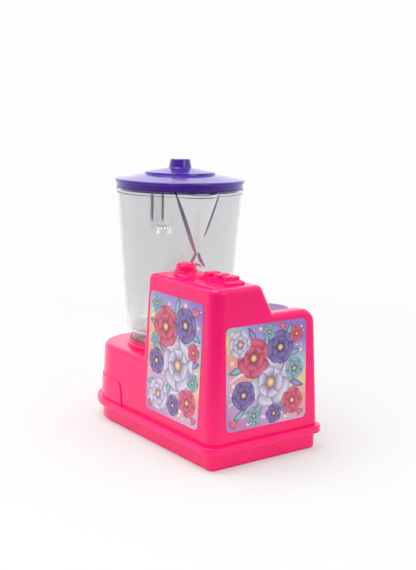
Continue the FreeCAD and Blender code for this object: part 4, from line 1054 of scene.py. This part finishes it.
def screw_places(name):
    """In a node of screws: the middle of each head's outer face, a head's radius and height, and a length."""
    between_screws = 6 * MM
    groups = []
    for corner in (vertex.co for vertex in nodes[name].data.vertices):
        near = next((group for group in groups if (group[0].xy - corner.xy).length < between_screws), None)
        if near:
            near.append(corner)
        else:
            groups.append([corner])
    spots = []
    for group in groups:
        xs, ys, zs = zip(*group)
        spots.append(((min(xs) + max(xs)) / 2, (min(ys) + max(ys)) / 2, min(zs)))
    xs, _, zs = zip(*groups[0])
    radius = (max(xs) - min(xs)) / 2
    middle = (max(xs) + min(xs)) / 2
    rim = [z for x, z in zip(xs, zs) if abs(x - middle) > 0.97 * radius]
    return spots, radius, max(rim) - min(zs), max(zs) - min(zs)


# ------------------------------------------------------------------- stage

# The camera leans by degrees, and its lens is given as a focal length and an image height in pixels.
CAMERA_SPOT = Vector((594.3, -429.0, 245.4)) * MM
CAMERA_TARGET = Vector((46.2, -24.95, 122.46)) * MM
CAMERA_LEAN = 1.173
SENSOR = 36
FOCAL_PIXELS = 980.85
IMAGE_PIXELS = 570

# Towards the camera, on the level.
CAMERA_SIDE = (0.8, -0.6, 0.0)

# Each lamp's place, what it looks at and the length of its side.
KEY_LAMP = ((-0.15, -0.35, 1.15), (0, 0, 0.08), 0.8)
SIDE_LAMP = ((1.1, 0.25, 0.65), (0, 0, 0.1), 0.5)

# Shares of the floor's radius between which it fades out.
FLOOR_FADE = (0.07, 0.45)


def place_camera(scene):
    """The camera, at the angle and the lens that the part is shown with."""
    ahead = (CAMERA_TARGET - CAMERA_SPOT).normalized()
    level = ahead.cross(UP).normalized()
    upright = level.cross(ahead)
    lean = math.radians(CAMERA_LEAN)
    right = level * math.cos(lean) + upright * math.sin(lean)
    up = upright * math.cos(lean) - level * math.sin(lean)
    data = bpy.data.cameras.new("camera")
    data.sensor_width = SENSOR
    data.lens = SENSOR * FOCAL_PIXELS / IMAGE_PIXELS
    data.clip_start = 0.05
    data.clip_end = 50
    camera = linked("camera", data)
    turn = Matrix((right, up, -ahead)).transposed().to_4x4()
    camera.matrix_world = Matrix.Translation(CAMERA_SPOT) @ turn
    scene.camera = camera


def soft_lamp(name, spot, aim, side, strength):
    """A square soft lamp that looks at a point."""
    data = bpy.data.lights.new(name, "AREA")
    data.shape = "SQUARE"
    data.size = side
    data.energy = strength
    way = Vector(aim) - Vector(spot)
    turn = way.to_track_quat("-Z", "Y").to_matrix().to_4x4()
    linked(name, data).matrix_world = Matrix.Translation(spot) @ turn


def white_surround(scene, ambient):
    """A white background over a softer light, strongest from above and weakest from the camera's side."""
    world = bpy.data.worlds.new("surround")
    world.use_nodes = True
    tree = world.node_tree
    tree.nodes.clear()
    path = put(tree, "ShaderNodeLightPath").outputs
    place = put(tree, "ShaderNodeTexCoord").outputs["Generated"]
    climb = put(tree, "ShaderNodeSeparateXYZ", {0: place}).outputs["Z"]
    height = ranged(tree, climb, 0.75 * ambient, 1.5 * ambient, 0.0, 0.9)
    ways = {0: place, 1: CAMERA_SIDE}
    toward = put(tree, "ShaderNodeVectorMath", ways, operation="DOT_PRODUCT").outputs["Value"]
    soft = times(tree, height, ranged(tree, toward, 1.12, 0.6, -0.6, 0.95))
    crisp = ranged(tree, toward, 1.4, 0.15, -0.6, 0.9)
    extra = worked(tree, "SUBTRACT", crisp, soft)
    strength = worked(tree, "MULTIPLY_ADD", path["Is Glossy Ray"], extra, soft)
    given = put(tree, "ShaderNodeBackground", {"Color": (1, 1, 1, 1), "Strength": strength})
    shown = put(tree, "ShaderNodeBackground", {"Color": (0.985, 0.985, 0.985, 1), "Strength": 1.0})
    seen = worked(tree, "MAXIMUM", path["Is Camera Ray"], path["Is Transmission Ray"])
    pick = put(tree, "ShaderNodeMixShader", {0: seen, 1: given.outputs[0], 2: shown.outputs[0]})
    put(tree, "ShaderNodeOutputWorld", {"Surface": pick.outputs[0]})
    scene.world = world


def floor_finish(reach):
    """A white floor with soft shadows that fades out before its edge."""
    settings = {"Base Color": (0.88, 0.88, 0.88, 1), "Roughness": 0.7, "Specular IOR Level": 0.1}
    material, tree, surface = new_finish("floor_white", settings)
    place = put(tree, "ShaderNodeTexCoord").outputs["Object"]
    far = put(tree, "ShaderNodeVectorMath", {0: place}, operation="LENGTH").outputs["Value"]
    glow = put(tree, "ShaderNodeEmission", {"Color": (0.72, 0.72, 0.72, 1), "Strength": 1.0}).outputs[0]
    seen = times(tree, put(tree, "ShaderNodeLightPath").outputs["Is Camera Ray"], 0.5)
    lit = put(tree, "ShaderNodeMixShader", {0: seen, 1: surface.outputs[0], 2: glow}).outputs[0]
    fade = ranged(tree, far, 0.0, 1.0, *(reach * share for share in FLOOR_FADE))
    gone = put(tree, "ShaderNodeBsdfTransparent").outputs[0]
    faded = put(tree, "ShaderNodeMixShader", {0: fade, 1: lit, 2: gone})
    tree.links.new(faded.outputs[0], tree.nodes["Material Output"].inputs["Surface"])
    return material


def make_floor(reach):
    """A round floor."""
    form = bmesh.new()
    bmesh.ops.create_circle(form, cap_ends=True, radius=reach, segments=96)
    mesh = meshed("floor", form)
    mesh.materials.append(floor_finish(reach))
    floor = linked("floor", mesh)


# --------------------------------------------------------------- operators


class TOYBLENDER_OT_stage(bpy.types.Operator):
    """Set the camera, the white floor and surround, and the lamps"""

    bl_idname = "toy_blender.stage"
    bl_label = "Studio"

    def execute(self, context):
        scene = context.scene
        scene.view_settings.view_transform = "Standard"
        place_camera(scene)
        white_surround(scene, studio().ambient)
        make_floor(studio().floor_reach)
        soft_lamp("key", *KEY_LAMP, studio().key_power)
        soft_lamp("side", *SIDE_LAMP, studio().side_power)
        return {"FINISHED"}


class TOYBLENDER_OT_housing(bpy.types.Operator):
    """Finish the moulded housing, its tray and its cell door"""

    bl_idname = "toy_blender.housing"
    bl_label = "Housing"

    def execute(self, context):
        dress(moulded_plastic("housing_pink", colours().housing), "upper_housing", "base_tray", "cell_door")
        return {"FINISHED"}


class TOYBLENDER_OT_controls(bpy.types.Operator):
    """Finish the round button, its spring and the keys"""

    bl_idname = "toy_blender.controls"
    bl_label = "Button and keys"

    def execute(self, context):
        finish = moulded_plastic("control_pink", colours().housing, (0.13, 0.22))
        dress(finish, "power_button", "key_1", "key_2", "key_3")
        dress(metal("spring_wire", (0.66, 0.67, 0.70)), "button_spring")
        return {"FINISHED"}


class TOYBLENDER_OT_jug(bpy.types.Operator):
    """Finish the clear jug, its lid and the cup"""

    bl_idname = "toy_blender.jug"
    bl_label = "Jug, lid and cup"

    def execute(self, context):
        dress(clear_plastic("jug_clear", colours().jug, JugForm().axis), "jug_body")
        dress(moulded_plastic("lid_purple", colours().lid, (0.1, 0.2), 0.16, 0.5), "jug_lid")
        dress(moulded_plastic("cup_lilac", colours().cup), "cup")
        dress(dull_plastic("coupling_white", (0.80, 0.79, 0.80), (0.3, 0.45)), "blade_bush", "driven_dog")
        dress(moulded_plastic("blade_lilac", colours().cup), "blade_rotor")
        return {"FINISHED"}


class TOYBLENDER_OT_beads(bpy.types.Operator):
    """Lay the thick clear edges along the spout, the rim, the handle and the forked rib"""

    bl_idname = "toy_blender.beads"
    bl_label = "Clear edges"

    def execute(self, context):
        # Painted reflection and shade on the clear edges; the handle's rails sit above the change and get only
        # the painted shade.
        finish = bead_with_painted_reflection("bead_tinted", EDGE_HEIGHTS, 0.75)
        grip = bead_with_painted_reflection("grip_tinted", GRIP_HEIGHTS, 0.4)
        jug = JugForm()
        foot = jug.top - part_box("upper_housing")[1].z
        beads = [
            ("spout_edge_left", spout_edge(jug, -1, 0.04, 0.92), 1.9, finish),
            ("spout_edge_right", spout_edge(jug, 1, 0.05, 0.62), 1.2, finish),
            ("jug_rim_line", rim_line(jug), 0.5, finish),
            ("spout_lip_line", spout_lip(jug), 0.5, finish),
        ]
        sides = (("left", -1), ("right", 1))
        beads += [(f"handle_rail_{name}", handle_rail(jug, side), 1.7, grip) for name, side in sides]
        beads += [(f"rib_leg_{name}", rib_leg(jug, side, foot), 1.5, finish) for name, side in sides]
        beads.append(("rib_arch", rib_arch(jug, foot), 1.0, finish))
        for name, line, thick, material in beads:
            mesh = bead_mesh(name, line, thick)
            mesh.materials.append(material)
            added(name, mesh, "jug")
        return {"FINISHED"}


class TOYBLENDER_OT_works(bpy.types.Operator):
    """Finish the drive, the motor, the cells and the board"""

    bl_idname = "toy_blender.works"
    bl_label = "Drive and cells"

    def execute(self, context):
        dress(metal("steel", (0.62, 0.63, 0.66)), "drive_shaft", "motor_shaft", "blade_shaft", "motor_can")
        dress(metal("brass", (0.78, 0.55, 0.22)), "motor_pinion", "cell_contacts")
        white = dull_plastic("gear_white", (0.85, 0.85, 0.81), (0.3, 0.45))
        dress(white, "drive_gear", "drive_dog", "motor_cap")
        dress(dull_plastic("plate_black", (0.03, 0.03, 0.035)), "motor_plate", "board_chip", "key_switches")
        dress(dull_plastic("speaker_black", (0.04, 0.04, 0.045)), "speaker", "button_switch", "shaft_bush")
        dress(dull_plastic("board_green", (0.02, 0.16, 0.06), (0.25, 0.4)), "circuit_board")
        cell = dull_plastic("cell_grey", (0.10, 0.12, 0.16), (0.2, 0.35))
        dress(cell, "battery_cell_1", "battery_cell_2", "battery_cell_3")
        return {"FINISHED"}


class TOYBLENDER_OT_screws(bpy.types.Operator):
    """Put threaded screws in the place of the plain ones"""

    bl_idname = "toy_blender.screws"
    bl_label = "Screws"

    def execute(self, context):
        tree = screw_tree()
        zinc = metal("screw_zinc", (0.60, 0.60, 0.62), (0.25, 0.45))
        for name in ("housing_screws", "plate_screws", "board_screws", "door_screw"):
            spots, radius, height, whole = screw_places(name)
            values = {
                "Head radius": radius,
                "Head height": height,
                "Shank radius": 0.455 * radius,
                "Length": whole,
                "Pitch": sizes().thread_pitch,
                "Thread depth": sizes().thread_depth,
                "Material": zinc,
            }
            mesh = settled(f"{name}_threaded", points_mesh(f"{name}_places", spots), tree, values)
            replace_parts(added(f"{name}_threaded", mesh), name)
        return {"FINISHED"}


class TOYBLENDER_OT_labels(bpy.types.Operator):
    """Print the two labels"""

    bl_idname = "toy_blender.labels"
    bl_label = "Labels"

    def execute(self, context):
        ink = print_ink()
        blossoms, dots = blossom_tree(), dot_tree()
        for layout, across in ((FRONT_PRINT, "X"), (SIDE_PRINT, "Y")):
            low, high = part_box(layout["node"])
            middle, reach = (low.z + high.z) / 2, (high.z - low.z) / 2
            aside = getattr(low + high, across.lower()) / 2
            centre = middle + LABEL_SLANT * aside
            ground = label_ground(f"{layout['node']}_ground", across, centre, 1.25 * reach)
            dress(ground, layout["node"])
            print_label(layout, ink, blossoms, dots)
        return {"FINISHED"}


# ------------------------------------------------------------------- panel

STEPS = (
    TOYBLENDER_OT_stage,
    TOYBLENDER_OT_housing,
    TOYBLENDER_OT_controls,
    TOYBLENDER_OT_jug,
    TOYBLENDER_OT_beads,
    TOYBLENDER_OT_works,
    TOYBLENDER_OT_screws,
    TOYBLENDER_OT_labels,
)


class TOYBLENDER_PT_panel(bpy.types.Panel):
    """Lists the steps and the settings"""

    bl_idname = "TOYBLENDER_PT_panel"
    bl_label = "Toy Blender"
    bl_space_type = "VIEW_3D"
    bl_region_type = "UI"
    bl_category = "Toy Blender"

    def draw(self, context):
        for step in STEPS:
            self.layout.operator(step.bl_idname)
        for group in (colours(), sizes(), studio()):
            box = self.layout.box()
            for name in group.__annotations__:
                box.prop(group, name)


GROUPS = (
    ("toy_blender_colours", ToyBlenderColours),
    ("toy_blender_sizes", ToyBlenderSizes),
    ("toy_blender_studio", ToyBlenderStudio),
)


def register():
    """Adds the settings, the steps and the panel to Blender."""
    for name, group in GROUPS:
        bpy.utils.register_class(group)
        setattr(bpy.types.Scene, name, PointerProperty(type=group))
    for step in STEPS:
        bpy.utils.register_class(step)
    bpy.utils.register_class(TOYBLENDER_PT_panel)


def unregister():
    """Takes them out again."""
    bpy.utils.unregister_class(TOYBLENDER_PT_panel)
    for step in reversed(STEPS):
        bpy.utils.unregister_class(step)
    for name, group in reversed(GROUPS):
        delattr(bpy.types.Scene, name)
        bpy.utils.unregister_class(group)


def main():
    """Runs each step in order."""
    register()
    for step in STEPS:
        family, name = step.bl_idname.split(".")
        getattr(getattr(bpy.ops, family), name)()


if __name__ == "__main__":
    main()
